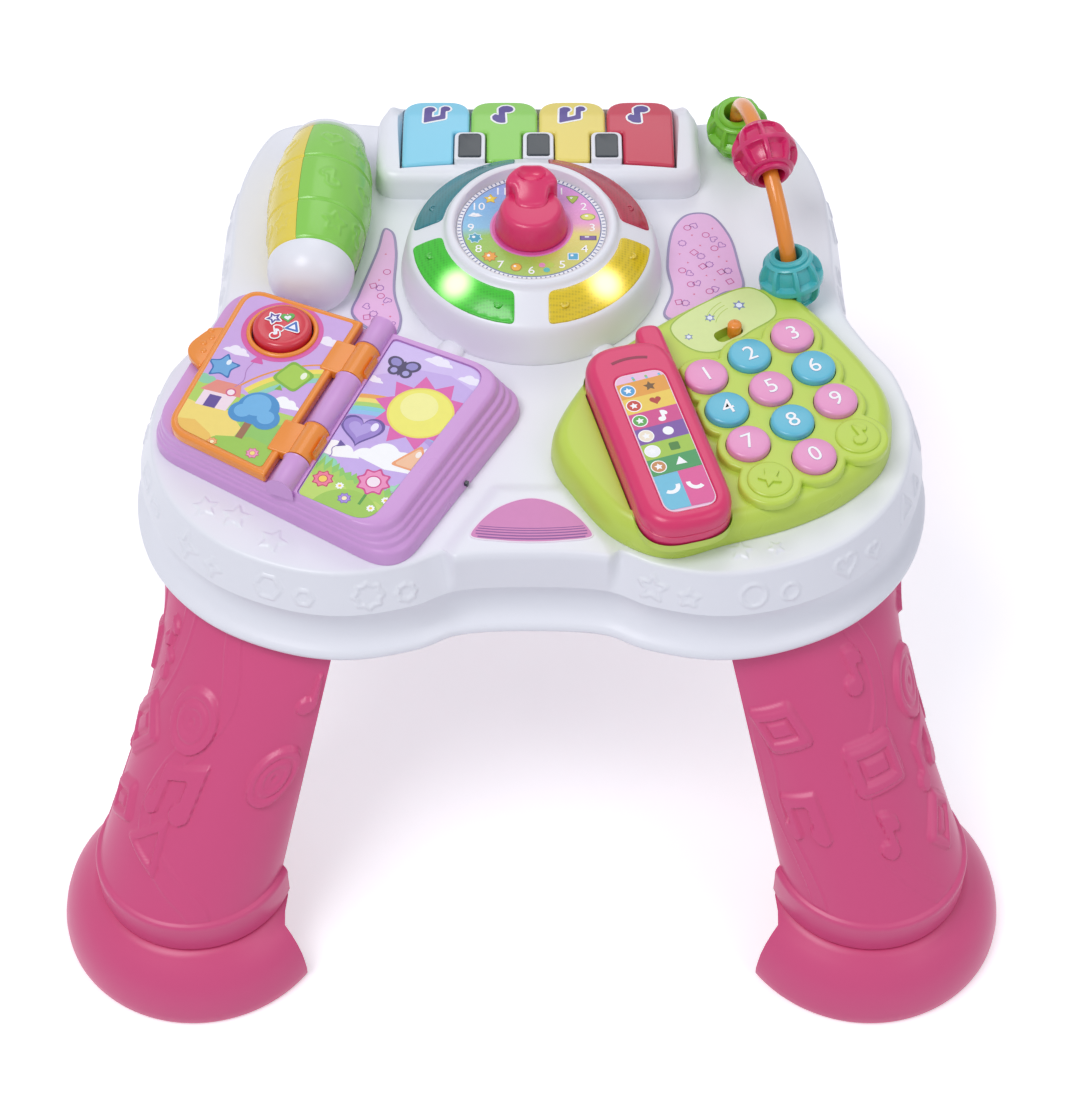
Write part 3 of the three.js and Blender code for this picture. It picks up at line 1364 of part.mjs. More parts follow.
// The round room that the front bead needs in the phone's edge
function beadRoom() {
  const room = new THREE.SphereGeometry(beadRadius + 2 * runningGap, roundSteps, roundSteps / 2);
  room.translate(...barPoint(beadAngles[2]).toArray());
  return solid(room);
}

// The lime phone base: hollow, with a raised keypad, a handset trough and a volume slot
function phoneBase() {
  const base = deckHeight + clearance;
  const plan = smoothOutline(phoneShares.map(phonePlace), phoneSteps);
  let body = taperedPrism(plan, base, phoneHeight, phoneTaper, phoneRound);
  const spots = [...numberSteps(), [-1, 2], [1, 2]].map(([row, column]) => keypadSpot(row, column));
  const plateauBottom = phoneHeight - shellWall / 2;
  const field = [keypadSpot(-1, -1), keypadSpot(-1, 2), keypadSpot(1, 2), keypadSpot(1, -1)];
  body = body.add(prismOf(field)(plateauBottom, keypadHeight));
  spots.forEach(([x, y]) => {
    const disc = circle(numberRadius + keypadMargin, x, y, smallSteps);
    body = body.add(prism(disc, plateauBottom, keypadHeight));
  });
  [[-1, 2], [1, 2]].forEach(([row, column]) => {
    const disc = circle(numberRadius, ...keypadSpot(row, column), smallSteps);
    body = body.add(taperedPrism(disc, plateauBottom, keypadHeight + fixedDiscRise, 0, clearance * 3));
  });
  const cavityTop = phoneHeight - shellWall;
  const block = prism(atHandset(handsetPlan(troughGap + shellWall)), troughHeight - shellWall,
    cavityTop + overrun);
  const cavity = prism(offsetOutline(plan, -phoneTaper - shellWall), base - overrun, cavityTop);
  body = body.subtract(cavity.subtract(block));
  body = body.subtract(prism(atHandset(handsetPlan(troughGap)), troughHeight, phoneHeight + overrun));
  numberSteps().forEach(([row, column]) => {
    const [x, y] = keypadSpot(row, column);
    body = body.subtract(post(numberRadius + numberGap, x, y, cavityTop - overrun, keypadHeight + overrun));
    body = body.subtract(post(numberRadius + numberFlange + clearance, x, y, base, cavityTop));
  });
  const recess = smoothOutline(volumePanelShares.map(phonePlace), roundSteps);
  const floor = phoneHeight - volumePanelThickness - clearance;
  body = body.subtract(prism(offsetOutline(recess, clearance), floor, phoneHeight + overrun));
  return body.subtract(prism(sliderSlot(), base, phoneHeight + overrun)).subtract(beadRoom());
}

// One number button with the flange that holds it under the keypad
function numberButton() {
  const flangeTop = phoneHeight - shellWall - clearance;
  const flange = numberRadius + numberFlange;
  const rise = numberTop - keypadHeight;
  return turned([[0, flangeTop - numberFlangeThickness], [flange, flangeTop - numberFlangeThickness],
    [flange, flangeTop], [numberRadius, flangeTop], [numberRadius, numberTop - rise / 3],
    [numberRadius - rise / 4, numberTop - rise / 12], [numberRadius - rise / 2, numberTop], [0,
      numberTop]], smallSteps);
}

// The phone: base, ten buttons over their contact board, the volume slider and its panel
function addPhone() {
  piece(table, 'phone_base', phoneBase(), lime);
  numberSteps().forEach(([row, column], number) => {
    const [x, y] = keypadSpot(row, column);
    const group = placedGroup(x, y, 0, 0);
    const paint = number > 0 && number % 2 === 0 ? buttonBlue : buttonPink;
    piece(group, `number_button_${number}`, numberButton(), paint);
  });
  const corners = boardCornerShares.map(([row, column]) => keypadSpot(row, column));
  piece(table, 'keypad_board', prismOf(corners)(keypadBoardHeight - boardThickness, keypadBoardHeight),
    boardGreen);
  const group = placedGroup(...phonePlace(sliderPlaceShares), 0, sliderYaw);
  const flangeTop = phoneHeight - shellWall - clearance;
  const knob = turned([[0, flangeTop - shellWall / 2], [sliderRadius + shellWall,
    flangeTop - shellWall / 2],
    [sliderRadius + shellWall, flangeTop], [sliderRadius, flangeTop], [sliderRadius,
      phoneHeight + sliderRise - 1.5 * clearance],
    [sliderRadius - 2 * clearance, phoneHeight + sliderRise], [0, phoneHeight + sliderRise]], smallSteps);
  piece(group, 'volume_slider', moved(knob, sliderOffset, 0, 0), orange);
  const panelTop = phoneHeight;
  const panel = prism(smoothOutline(volumePanelShares.map(phonePlace), roundSteps),
    panelTop - volumePanelThickness, panelTop)
    .subtract(prism(sliderSlot(), panelTop - overrun, panelTop + overrun)).subtract(beadRoom());
  piece(table, 'volume_panel', panel, finish('#dcee9a', 0.15));
}

// The toy handset that lifts out of its trough, and its printed screen
function addHandset() {
  const group = placedGroup(handsetX, handsetY, 0, handsetYaw);
  const bottom = troughHeight + clearance;
  const top = bottom + handsetThickness;
  const screen = roundedOutline(rectangle(screenHalfWidth, screenHalfLength, screenX, screenY),
    screenCornerRadius);
  let body = loft([
    ringAt(handsetPlan(-handsetRound / 2), bottom), ringAt(handsetPlan(0), bottom + handsetRound / 2),
    ringAt(handsetPlan(0), top - handsetRound), ringAt(handsetPlan(-handsetRound * 0.3),
      top - handsetRound * 0.3),
    ringAt(handsetPlan(-handsetRound), top),
  ]);
  const stubMiddle = handsetHalfLength - antennaRound;
  const stub = roundedOutline(rectangle(antennaHalfWidth, antennaReach + antennaRound, antennaX,
    stubMiddle), antennaRound);
  body = body.add(taperedPrism(stub, bottom + antennaDrop, top - handsetRound / 2, 0, handsetRound / 2));
  body = body.subtract(prism(offsetOutline(screen, clearance), top - screenThickness, top + overrun));
  piece(group, 'handset', body, magenta);
  piece(group, 'handset_screen', prism(screen, top - screenThickness + clearance, top), printed);
}

// The label on the hump and the two printed decals beside the dome
function addPrints() {
  const labelBottom = deckHeight + humpHeight + clearance;
  const front = labelSetBack - trayFrontReach;
  const points = labelShares.map(([x, y]) => [x * labelHalfWidth, front + y * labelDepth]);
  const label = smoothOutline(points, traySteps / 2);
  piece(table, 'label_plate', prism(label, labelBottom, labelBottom + labelThickness), finish('#d886be',
    0.4));
  const decals = [['decal_left', leftDecalShares], ['decal_right', rightDecalShares]];
  decals.forEach(([name, shares]) => {
    const points = shares.map(([x, y]) => [x * domeBaseRadius, domeY + y * domeBaseRadius]);
    const plan = smoothOutline(points, traySteps / 2);
    const bottom = deckHeight + clearance;
    piece(table, name, prism(plan, bottom, bottom + decalThickness), printed);
  });
}

piece(table, 'top_shell', topShell(), white);
piece(table, 'bottom_shell', bottomShell(), white);
addLegs();
addElectronics();
addClock();
addPiano();
addDrum();
piece(table, 'bead_bar', beadBar(), orange);
addBeads();
addBook();
addPhone();
addHandset();
addPrints();

export default table;
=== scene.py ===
"""Toddler activity table: a white tray on four pink legs, with a clock dial, piano keys, a spinning
drum, beads on a bar, a turning book page and a toy phone. All sizes in the tables below are in
millimetres; MM turns them into metres where a mesh is made."""
import math
import bmesh
import bpy
import numpy as np
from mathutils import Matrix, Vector
from mathutils.geometry import delaunay_2d_cdt


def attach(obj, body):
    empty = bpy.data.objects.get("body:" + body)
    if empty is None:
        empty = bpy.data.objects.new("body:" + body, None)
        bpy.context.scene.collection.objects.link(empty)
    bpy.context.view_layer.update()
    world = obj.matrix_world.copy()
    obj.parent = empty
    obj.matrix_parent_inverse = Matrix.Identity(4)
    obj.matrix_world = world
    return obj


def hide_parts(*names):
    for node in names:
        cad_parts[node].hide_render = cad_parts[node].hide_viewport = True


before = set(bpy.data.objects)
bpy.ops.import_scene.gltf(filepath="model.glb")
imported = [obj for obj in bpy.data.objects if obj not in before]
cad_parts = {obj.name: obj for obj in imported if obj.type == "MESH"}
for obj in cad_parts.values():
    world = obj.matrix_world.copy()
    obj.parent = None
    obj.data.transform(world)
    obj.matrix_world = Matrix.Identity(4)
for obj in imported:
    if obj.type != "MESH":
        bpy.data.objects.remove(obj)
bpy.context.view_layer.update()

MM = 0.001
TAU = 2 * math.pi

# ---------------------------------------------------------------- camera, light and floor

CAMERA_PLACE = (0.0, -1.0775, 1.3992)
CAMERA_PITCH = 50.5
FOCAL_PIXELS = 2748.0
PICTURE = (1080, 1112)
CENTRE_COLUMN = 531.5


def show(item):
    """Puts an object into the scene."""
    bpy.context.scene.collection.objects.link(item)


def add_camera():
    """The photograph's camera: looking down over the label side."""
    data = bpy.data.cameras.new("photo_camera")
    data.sensor_fit = "AUTO"
    data.sensor_width = 36.0
    data.lens = 36.0 * FOCAL_PIXELS / max(PICTURE)
    data.shift_x = (PICTURE[0] / 2 - CENTRE_COLUMN) / max(PICTURE)
    data.clip_end = 20.0
    camera = bpy.data.objects.new("photo_camera", data)
    camera.location = CAMERA_PLACE
    camera.rotation_euler = (math.radians(90 - CAMERA_PITCH), 0, 0)
    show(camera)
    bpy.context.scene.camera = camera


def linear(code):
    """An sRGB hex colour as linear RGBA."""
    parts = [int(code[i:i + 2], 16) / 255 for i in (1, 3, 5)]
    return [c / 12.92 if c <= 0.04045 else ((c + 0.055) / 1.055) ** 2.4 for c in parts] + [1.0]


def add_node(tree, kind, links=(), **settings):
    """Adds a node. Settings whose name starts with in_ go to that input, by number or by name with _
    for a space; links are (input, output socket) pairs."""
    node = tree.nodes.new(kind)
    for key, value in settings.items():
        if key.startswith("in_"):
            name = key[3:]
            node.inputs[int(name) if name.isdigit() else name.replace("_", " ")].default_value = value
        else:
            setattr(node, key, value)
    for name, socket in links:
        tree.links.new(socket, node.inputs[name])
    return node


def new_material(name):
    """An empty node material and its tree."""
    material = bpy.data.materials.new(name)
    material.use_nodes = True
    material.node_tree.nodes.clear()
    return material, material.node_tree


def add_lamp(name, place, target, size, power):
    """A square soft box at a place, facing a target."""
    data = bpy.data.lights.new(name, "AREA")
    data.shape = "SQUARE"
    data.size = size
    data.energy = power
    lamp = bpy.data.objects.new(name, data)
    lamp.location = place
    lamp.rotation_euler = (Vector(target) - Vector(place)).to_track_quat("-Z", "Y").to_euler()
    show(lamp)


def seen_rays(tree):
    """1 for the rays that show the background: the camera's, and those off a gloss or through a clear
    piece."""
    rays = add_node(tree, "ShaderNodeLightPath")
    seen = add_node(tree, "ShaderNodeMath", operation="MAXIMUM",
                    links=[(0, rays.outputs["Is Camera Ray"]), (1, rays.outputs["Is Glossy Ray"])])
    return add_node(tree, "ShaderNodeMath", operation="MAXIMUM",
                    links=[(0, seen.outputs[0]), (1, rays.outputs["Is Transmission Ray"])]).outputs[0]


def add_studio():
    """White world and floor to the camera and to reflections, with soft boxes from above."""
    scene = bpy.context.scene
    scene.view_settings.view_transform = "Standard"
    world = bpy.data.worlds.new("studio_white")
    scene.world = world
    world.use_nodes = True
    tree = world.node_tree
    tree.nodes.clear()
    light = add_node(tree, "ShaderNodeBackground", in_Color=linear("#eef1ff"), in_Strength=WORLD_LIGHT)
    white = add_node(tree, "ShaderNodeBackground", in_Color=(1, 1, 1, 1), in_Strength=1.0)
    mix = add_node(tree, "ShaderNodeMixShader",
                   links=[(0, seen_rays(tree)), (1, light.outputs[0]), (2, white.outputs[0])])
    add_node(tree, "ShaderNodeOutputWorld", links=[("Surface", mix.outputs[0])])
    for lamp in LAMPS:
        add_lamp(*lamp)
    material, tree = new_material("studio_paper")
    paper = add_node(tree, "ShaderNodeBsdfDiffuse", in_Color=linear("#fbfbfd"))
    glow = add_node(tree, "ShaderNodeEmission", in_Color=(1, 1, 1, 1), in_Strength=FLOOR_GLOW)
    lit = add_node(tree, "ShaderNodeAddShader", links=[(0, paper.outputs[0]), (1, glow.outputs[0])])
    both = add_node(tree, "ShaderNodeMixShader",
                    links=[(0, seen_rays(tree)), (1, paper.outputs[0]), (2, lit.outputs[0])])
    add_node(tree, "ShaderNodeOutputMaterial", links=[("Surface", both.outputs[0])])
    corners = np.array(box_corners(FLOOR_REACH, FLOOR_REACH), float)
    floor = object_of("floor", [(with_height(corners, 0.0), [(0, 1, 2, 3)], material)])
    floor.location.z = -0.0002


WORLD_LIGHT = 0.46
FLOOR_GLOW = 0.4
FLOOR_REACH = 6000.0
LAMPS = [("key_box", (-1.0, -0.9, 2.6), (0, 0, 0.2), 1.2, 29.5),
         ("fill_box", (1.6, -1.0, 2.0), (0, 0, 0.2), 1.4, 7.5),
         ("back_box", (0.3, 1.8, 2.5), (0, 0, 0.25), 1.6, 10.0)]

# ---------------------------------------------------------------- materials


def pitch(size):
    """A pattern's scale for features of a size in mm: Object coordinates are in metres."""
    return 1000.0 / size


def shade(colour, share):
    """A linear colour made darker or lighter by a share."""
    return [min(1.0, c * share) for c in colour[:3]] + [1.0]


def moulded_plastic(name, code, rough=0.3, sheen=0.0):
    """Injection-moulded ABS or polypropylene: one pigment through and through. To the eye, a faint
    cloudy change of tone about 70 mm across, and a gloss that varies a little over an orange-peel skin
    of 1.1 mm, drawn coarser than the real 0.3 mm so that it shows."""
    material, tree = new_material(name)
    where = add_node(tree, "ShaderNodeTexCoord").outputs["Object"]
    colour = linear(code)
    cloudy = add_node(tree, "ShaderNodeTexNoise", in_Scale=pitch(71.43), in_Detail=3.0,
                      links=[("Vector", where)])
    tone = add_node(tree, "ShaderNodeMix", data_type="RGBA", in_6=colour, in_7=shade(colour, 0.965),
                    links=[("Factor", cloudy.outputs["Fac"])])
    gloss = add_node(tree, "ShaderNodeMapRange", in_3=rough * 0.85, in_4=rough * 1.2,
                     links=[(0, cloudy.outputs["Fac"])])
    peel = add_node(tree, "ShaderNodeTexNoise", in_Scale=pitch(1.1111), in_Detail=1.0,
                    links=[("Vector", where)])
    bump = add_node(tree, "ShaderNodeBump", in_Strength=0.25, in_Distance=0.00003,
                    links=[("Height", peel.outputs["Fac"])])
    skin = add_node(tree, "ShaderNodeBsdfPrincipled", in_IOR=1.5, in_Coat_Weight=sheen,
                    in_Coat_Roughness=0.12,
                    links=[("Base Color", tone.outputs[2]), ("Roughness", gloss.outputs[0]),
                           ("Normal", bump.outputs[0])])
    add_node(tree, "ShaderNodeOutputMaterial", links=[("Surface", skin.outputs[0])])
    return material


def drawn_steel():
    """Drawn steel rod: bright, with a gloss broken by fine scratches 2.5 mm apart."""
    material, tree = new_material("drawn_steel_rod")
    where = add_node(tree, "ShaderNodeTexCoord").outputs["Object"]
    marks = add_node(tree, "ShaderNodeTexNoise", in_Scale=pitch(2.5), in_Detail=2.0,
                     links=[("Vector", where)])
    gloss = add_node(tree, "ShaderNodeMapRange", in_3=0.22, in_4=0.4, links=[(0, marks.outputs["Fac"])])
    skin = add_node(tree, "ShaderNodeBsdfPrincipled", in_Metallic=1.0, in_Base_Color=linear("#b9bcc2"),
                    links=[("Roughness", gloss.outputs[0])])
    add_node(tree, "ShaderNodeOutputMaterial", links=[("Surface", skin.outputs[0])])
    return material


inks = {}


def ink(code):
    """Ink under a clear film, made once for each colour: a flat print with a fine change of tone every
    4 mm, as from its screen dots, and a smooth gloss."""
    if code in inks:
        return inks[code]
    material, tree = new_material("film_print_" + code[1:])
    where = add_node(tree, "ShaderNodeTexCoord").outputs["Object"]
    colour = linear(code)
    dots = add_node(tree, "ShaderNodeTexNoise", in_Scale=pitch(3.846), in_Detail=2.0,
                    links=[("Vector", where)])
    tone = add_node(tree, "ShaderNodeMix", data_type="RGBA", in_6=shade(colour, 0.97),
                    in_7=shade(colour, 1.03),
                    links=[("Factor", dots.outputs["Fac"])])
    skin = add_node(tree, "ShaderNodeBsdfPrincipled", in_IOR=1.5, in_Roughness=0.28,
                    links=[("Base Color", tone.outputs[2])])
    add_node(tree, "ShaderNodeOutputMaterial", links=[("Surface", skin.outputs[0])])
    inks[code] = material
    return material


WHITE = moulded_plastic("white_abs_moulded", "#f0f1f7", 0.3)
PINK = moulded_plastic("pink_polypropylene_moulded", "#da4f84", 0.34)
LILAC = moulded_plastic("lilac_abs_moulded", "#d6a0dc", 0.28)
ORANGE = moulded_plastic("orange_abs_polished", "#f3912f", 0.2, sheen=0.2)
LIME = moulded_plastic("lime_abs_moulded", "#c4dd55", 0.28)
MAGENTA = moulded_plastic("magenta_abs_polished", "#e02c6a", 0.3, sheen=0.15)
DARK = moulded_plastic("black_abs_polished", "#27323c", 0.22, sheen=0.2)
STEEL = drawn_steel()
BOARD = moulded_plastic("green_board_laminate", "#2f7d4f", 0.5)

# ---------------------------------------------------------------- shapes

CREASE = 38


def object_of(name, parts, weld=True):
    """An object from parts, each (points in mm, faces, material). Doubles are merged and faces turned
    outward, and edges sharper than CREASE degrees stay crisp."""
    points, faces, index, slots = [], [], [], []
    base = 0
    for spots, polygons, material in parts:
        if material not in slots:
            slots.append(material)
        points.append(np.asarray(spots, float).reshape(-1, 3))
        faces += [[base + int(i) for i in polygon] for polygon in polygons]
        index += [slots.index(material)] * len(polygons)
        base += len(points[-1])
    mesh = bpy.data.meshes.new(name)
    mesh.from_pydata((np.concatenate(points) * MM).tolist(), [], faces)
    for material in slots:
        mesh.materials.append(material)
    mesh.polygons.foreach_set("material_index", np.array(index, np.int32))
    if weld:
        shape = bmesh.new()
        shape.from_mesh(mesh)
        bmesh.ops.remove_doubles(shape, verts=shape.verts, dist=2e-6)
        bmesh.ops.dissolve_degenerate(shape, edges=shape.edges, dist=1e-6)
        bmesh.ops.recalc_face_normals(shape, faces=shape.faces)
        shape.to_mesh(mesh)
        shape.free()
    mesh.polygons.foreach_set("use_smooth", np.ones(len(mesh.polygons), bool))
    mesh.set_sharp_from_angle(angle=math.radians(CREASE))
    mesh.update()
    item = bpy.data.objects.new(name, mesh)
    show(item)
    return item


def piece(name, parts, body, replaced=(), weld=True):
    """A finished piece that rides on a body and stands for CAD nodes, which it hides."""
    item = object_of(name, parts, weld)
    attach(item, body)
    if replaced:
        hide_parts(*replaced)


def clad(shapes, material):
    """Shapes, each (points, faces), as parts of one material."""
    return [(*shape, material) for shape in shapes]


def smooth_closed(points, count):
    """A closed centripetal Catmull-Rom curve through points, at evenly spaced places."""
    knots = np.asarray(points, float)
    before, after, later = (np.roll(knots, k, 0) for k in (1, -1, -2))
    gaps = [np.maximum(np.linalg.norm(b - a, axis=1), 1e-4) ** 0.5
            for a, b in ((before, knots), (knots, after), (after, later))]
    d0, d1, d2 = (g[:, None] for g in gaps)
    t1 = ((knots - before) / d0 - (after - before) / (d0 + d1) + (after - knots) / d1) * d1
    t2 = ((after - knots) / d1 - (later - knots) / (d1 + d2) + (later - after) / d2) * d1
    step = np.linspace(0, 1, 40, endpoint=False)[None, :, None]
    a, b, m, n = knots[:, None], after[:, None], t1[:, None], t2[:, None]
    curve = a + m * step + (3 * (b - a) - 2 * m - n) * step ** 2 + (2 * (a - b) + m + n) * step ** 3
    return even(curve.reshape(-1, knots.shape[1]), count)


def even(points, count, closed=True):
    """Points spaced evenly along a line or a closed outline."""
    points = np.asarray(points, float)
    line = np.vstack([points, points[:1]]) if closed else points
    length = np.concatenate([[0], np.cumsum(np.linalg.norm(np.diff(line, axis=0), axis=1))])
    places = np.linspace(0, length[-1], count, endpoint=not closed)
    return np.stack([np.interp(places, length, line[:, k]) for k in range(line.shape[1])], 1)


def unit(vectors):
    """Vectors made one long."""
    return vectors / np.maximum(np.linalg.norm(vectors, axis=-1, keepdims=True), 1e-9)


def normals_of(outline):
    """Outward unit normals of an anticlockwise outline: across the line between each point's neighbours."""
    along = unit(np.roll(outline, -1, 0) - np.roll(outline, 1, 0))
    return np.stack([along[:, 1], -along[:, 0]], 1)


def bend(before, corner, after, radius_in, radius_out, steps):
    """A parabola across a corner, that starts and ends at given distances from it."""
    t = np.linspace(0, 1, steps + 1)[:, None]
    start = corner + unit(before - corner) * radius_in
    end = corner + unit(after - corner) * radius_out
    return (1 - t) ** 2 * start + 2 * t * (1 - t) * corner + t ** 2 * end


def rounded(corners, radius, steps=8):
    """A polygon with each corner bent over a radius, or over its own one of a list."""
    corners = np.asarray(corners, float)
    radii = np.broadcast_to(radius, len(corners))
    return np.concatenate([bend(before, corner, after, size, size, steps) for before, corner, after, size
                           in zip(np.roll(corners, 1, 0), corners, np.roll(corners, -1, 0), radii)])


def box_corners(half_x, half_y, x=0.0, y=0.0):
    """A rectangle's corners about a centre, anticlockwise."""
    return [(x - half_x, y - half_y), (x + half_x, y - half_y), (x + half_x, y + half_y),
            (x - half_x, y + half_y)]


def circle(radius, count=64, x=0.0, y=0.0):
    """Points of a circle, anticlockwise."""
    angle = np.arange(count) / count * TAU
    return np.stack([x + radius * np.cos(angle), y + radius * np.sin(angle)], 1)


def skin_through(rings, loop=False):
    """Points and four-sided faces of the surface through closed rings of equal count, open at both ends or, as a
    loop, joined from its last ring to its first."""
    rings = np.asarray(rings, float)
    rows, columns = rings.shape[:2]
    a, b = np.meshgrid(np.arange(rows if loop else rows - 1), np.arange(columns), indexing="ij")
    after_a, after_b = (a + 1) % rows, (b + 1) % columns
    quads = np.stack([a * columns + b, a * columns + after_b, after_a * columns + after_b,
                      after_a * columns + b], -1)
    return rings.reshape(-1, 3), quads.reshape(-1, 4).tolist()


def loft(rings):
    """The surface through rings, closed with a flat lid at each end."""
    points, faces = skin_through(rings)
    columns = len(rings[0])
    return points, faces + [list(range(columns))[::-1], list(range(len(points) - columns, len(points)))]


def with_height(outline, height):
    """Plan points at a height, or at heights."""
    height = np.broadcast_to(height, len(outline))
    return np.column_stack([outline, height])


def heights_of(rule, x, y):
    """Heights at places, from a rule z = f(x, y) or from one height for all."""
    return rule(x, y) if callable(rule) else np.full(np.shape(x), float(rule))


def round_over(outline, outward, inset, size, low, rise, turns):
    """Rings of a rounded edge: a quarter ellipse that starts inset from the outline at a height, and
    goes in by a size and up by a rise, at the given turns."""
    inset = np.reshape(inset, (-1, 1))
    return [with_height(outline - outward * (inset + size * (1 - math.cos(a))), low + rise * math.sin(a))
            for a in turns]


def quarter(steps, start=0.0):
    """Evenly spaced angles from a start to a right angle."""
    return np.linspace(start, math.pi / 2, steps + 1)


def slab(outline, low, high, edge=1.0, low_edge=0.0):
    """A plate of an outline: its upper edge is a quarter circle of the given size, and its lower edge
    can be rounded too."""
    outward = normals_of(outline)
    rings = [with_height(outline, low)]
    if low_edge:
        rings = round_over(outline, outward, 0, low_edge, low + low_edge, -low_edge, quarter(5)[::-1])
    return loft(rings + round_over(outline, outward, 0, edge, high - edge, edge, quarter(5)))


def lathe(profile, count=96, x=0.0, y=0.0, loop=False):
    """A shape turned about a vertical axis from (radius, height) pairs."""
    profile = np.asarray(profile, float)
    angle = np.arange(count) / count * TAU
    rings = np.stack([x + profile[:, :1] * np.cos(angle), y + profile[:, :1] * np.sin(angle),
                      np.repeat(profile[:, 1:], count, 1)], -1)
    return skin_through(rings, loop)


def soft_line(points, radius, steps=5):
    """An open line of points with its inner corners bent, over a radius or up to the middle of a side."""
    points = np.asarray(points, float)
    reach = np.minimum(radius, np.linalg.norm(np.diff(points, axis=0), axis=1) * 0.49)
    corners = zip(points[:-2], points[1:-1], points[2:], reach[:-1], reach[1:])
    runs = [bend(*corner, steps) for corner in corners]
    return np.concatenate([points[:1], *runs, points[-1:]])


def tube(path, radius, count=20):
    """A round tube along a path, with flat ends: at each point two directions across the path."""
    path = np.asarray(path, float)
    along = unit(np.gradient(path, axis=0))
    guess = np.cross(along[len(along) // 2], path[-1] - path[0])
    guess = guess if np.linalg.norm(guess) > 1e-6 else np.array([0.3, 0.2, 0.9])
    side = unit(unit(guess) - along * (along @ unit(guess))[:, None])
    first = np.cross(side, along)
    angle = np.arange(count) / count * TAU
    across = first[:, None] * np.cos(angle)[:, None] + side[:, None] * np.sin(angle)[:, None]
    return loft(path[:, None] + radius * across)


def turned_about(shape, yaw, origin=(0, 0)):
    """Points, or a shape of points and faces, turned about a vertical line and moved to an origin."""
    if isinstance(shape, tuple):
        return turned_about(shape[0], yaw, origin), *shape[1:]
    points = np.array(shape, float)
    c, s = math.cos(yaw), math.sin(yaw)
    points[:, :2] = points[:, :2] @ [[c, s], [-s, c]] + origin
    return points


def flat(outline, height):
    """A flat face of an outline at a height."""
    return with_height(np.asarray(outline, float), height), [list(range(len(outline)))]


def wall(outline, low, top):
    """An upright wall on an outline, from a height up to a height or a rule z = f(x, y)."""
    return skin_through([with_height(outline, low), with_height(outline, heights_of(top, *outline.T))])


def pit(outline, top, floor):
    """The wall and floor of a hole that goes down from a surface."""
    return [wall(outline, floor, top), flat(outline, floor)]


def polygon_area(corners):
    """Signed area of an outline, positive when anticlockwise."""
    x, y = np.asarray(corners, float).T
    return np.sum(x * np.roll(y, -1) - y * np.roll(x, -1)) / 2


def anticlockwise(outline):
    """The outline, turned round if it runs clockwise."""
    outline = np.asarray(outline, float)
    return outline if polygon_area(outline) > 0 else outline[::-1]


def polygon_distance(x, y, corners):
    """Signed distance from points to a polygon's edge, negative inside."""
    corners = np.asarray(corners, float)
    best = np.full(x.shape, 1e9)
    inside = np.zeros(x.shape, bool)
    for (ax, ay), (bx, by) in zip(corners, np.roll(corners, -1, 0)):
        ex, ey = bx - ax, by - ay
        share = np.clip(((x - ax) * ex + (y - ay) * ey) / (ex * ex + ey * ey), 0, 1)
        best = np.minimum(best, np.hypot(x - ax - share * ex, y - ay - share * ey))
        crosses = (ay > y) != (by > y)
        edge_x = ax + (y - ay) * ex / (ey if abs(ey) > 1e-9 else 1e-9)
        inside ^= crosses & (x < edge_x)
    return np.where(inside, -best, best)


def star(radius, share=0.5, points=5, turn=math.pi / 2):
    """Corners of a star whose inner corners lie at a share of its radius."""
    angle = turn + np.arange(2 * points) / (2 * points) * TAU
    reach = np.where(np.arange(2 * points) % 2, share, 1.0) * radius
    return np.stack([reach * np.cos(angle), reach * np.sin(angle)], 1)


def heart(radius, count=40):
    """The usual heart curve, x from the cube of a sine and y from four cosines."""
    t = np.linspace(0, TAU, count, endpoint=False)
    x = 16 * np.sin(t) ** 3
    y = 13 * np.cos(t) - 5 * np.cos(2 * t) - 2 * np.cos(3 * t) - np.cos(4 * t)
    return np.stack([x, y + 2], 1)[::-1] * radius / 17


def ramp(value, low, high):
    """A smooth step from 0 at low to 1 at high."""
    t = np.clip((value - low) / (high - low), 0, 1)
    return t * t * (3 - 2 * t)


# ---------------------------------------------------------------- tray

# The tray's plan reaches these far to each side, to the front and to the back; the shares are of them.
TRAY_WIDTH, TRAY_FRONT, TRAY_BACK = 220.0, 163.0, 212.0
FRONT_SHARES = [(0, -.877), (.19, -.896), (.29, -.957), (.46, -1), (.627, -.963), (.805, -.84),
                (.945, -.613), (1, -.319), (.968, -.043)]
BACK_SHARES = [(.9, .094), (.855, .198), (.841, .33), (.841, .519), (.832, .684), (.791, .849),
               (.727, .958), (.59, 1), (.4, .985), (0, .98)]
DECK, CEILING, BAND_LOW, BAND_HIGH, BAND_LEAN = 265.0, 262.0, 239.0, 262.0, 7.5
# The shell below the band, from the ceiling's edge down its inside, round the lip and up the cove, as
# (height, distance outward, whether it leans with the band).
UNDER_BAND = [(CEILING, -6, 1), (250.0, -6, 1), (240.0, -8.4, 0), (213.5, -8.4, 0), (210.5, -3.0, 0),
              (205.0, -3.0, 0), (205.0, 3.2, 0), (205.4, 4.2, 0), (206.4, 4.9, 0), (208.0, 5.1, 0),
              (209.5, 4.8, 0), (210.6, 4.0, 0), (211.6, 2.7, 0), (212.9, 0.9, 0), (214.6, -1.0, 0),
              (217.0, -2.8, 0), (220.0, -4.1, 0), (224.0, -5.0, 0), (228.5, -5.3, 0), (232.5, -4.9, 0),
              (235.4, -3.8, 0), (237.4, -2.3, 0), (238.4, -1.0, 0)]
BAND_EDGE = 3.0
HUMP_RISE, STAR_RISE = 2.2, 0.9
HUMP = [(-44, -160), (44, -160), (42, -138), (18, -97), (-18, -97), (-42, -138)]
STARS = [(-177, -108, 7.5, 0.4), (-160, -115, 8.5, 0.1), (-139, -132, 8.5, -0.2), (112, -139, 7, 0.3),
         (131, -137, 5, 0.9)]
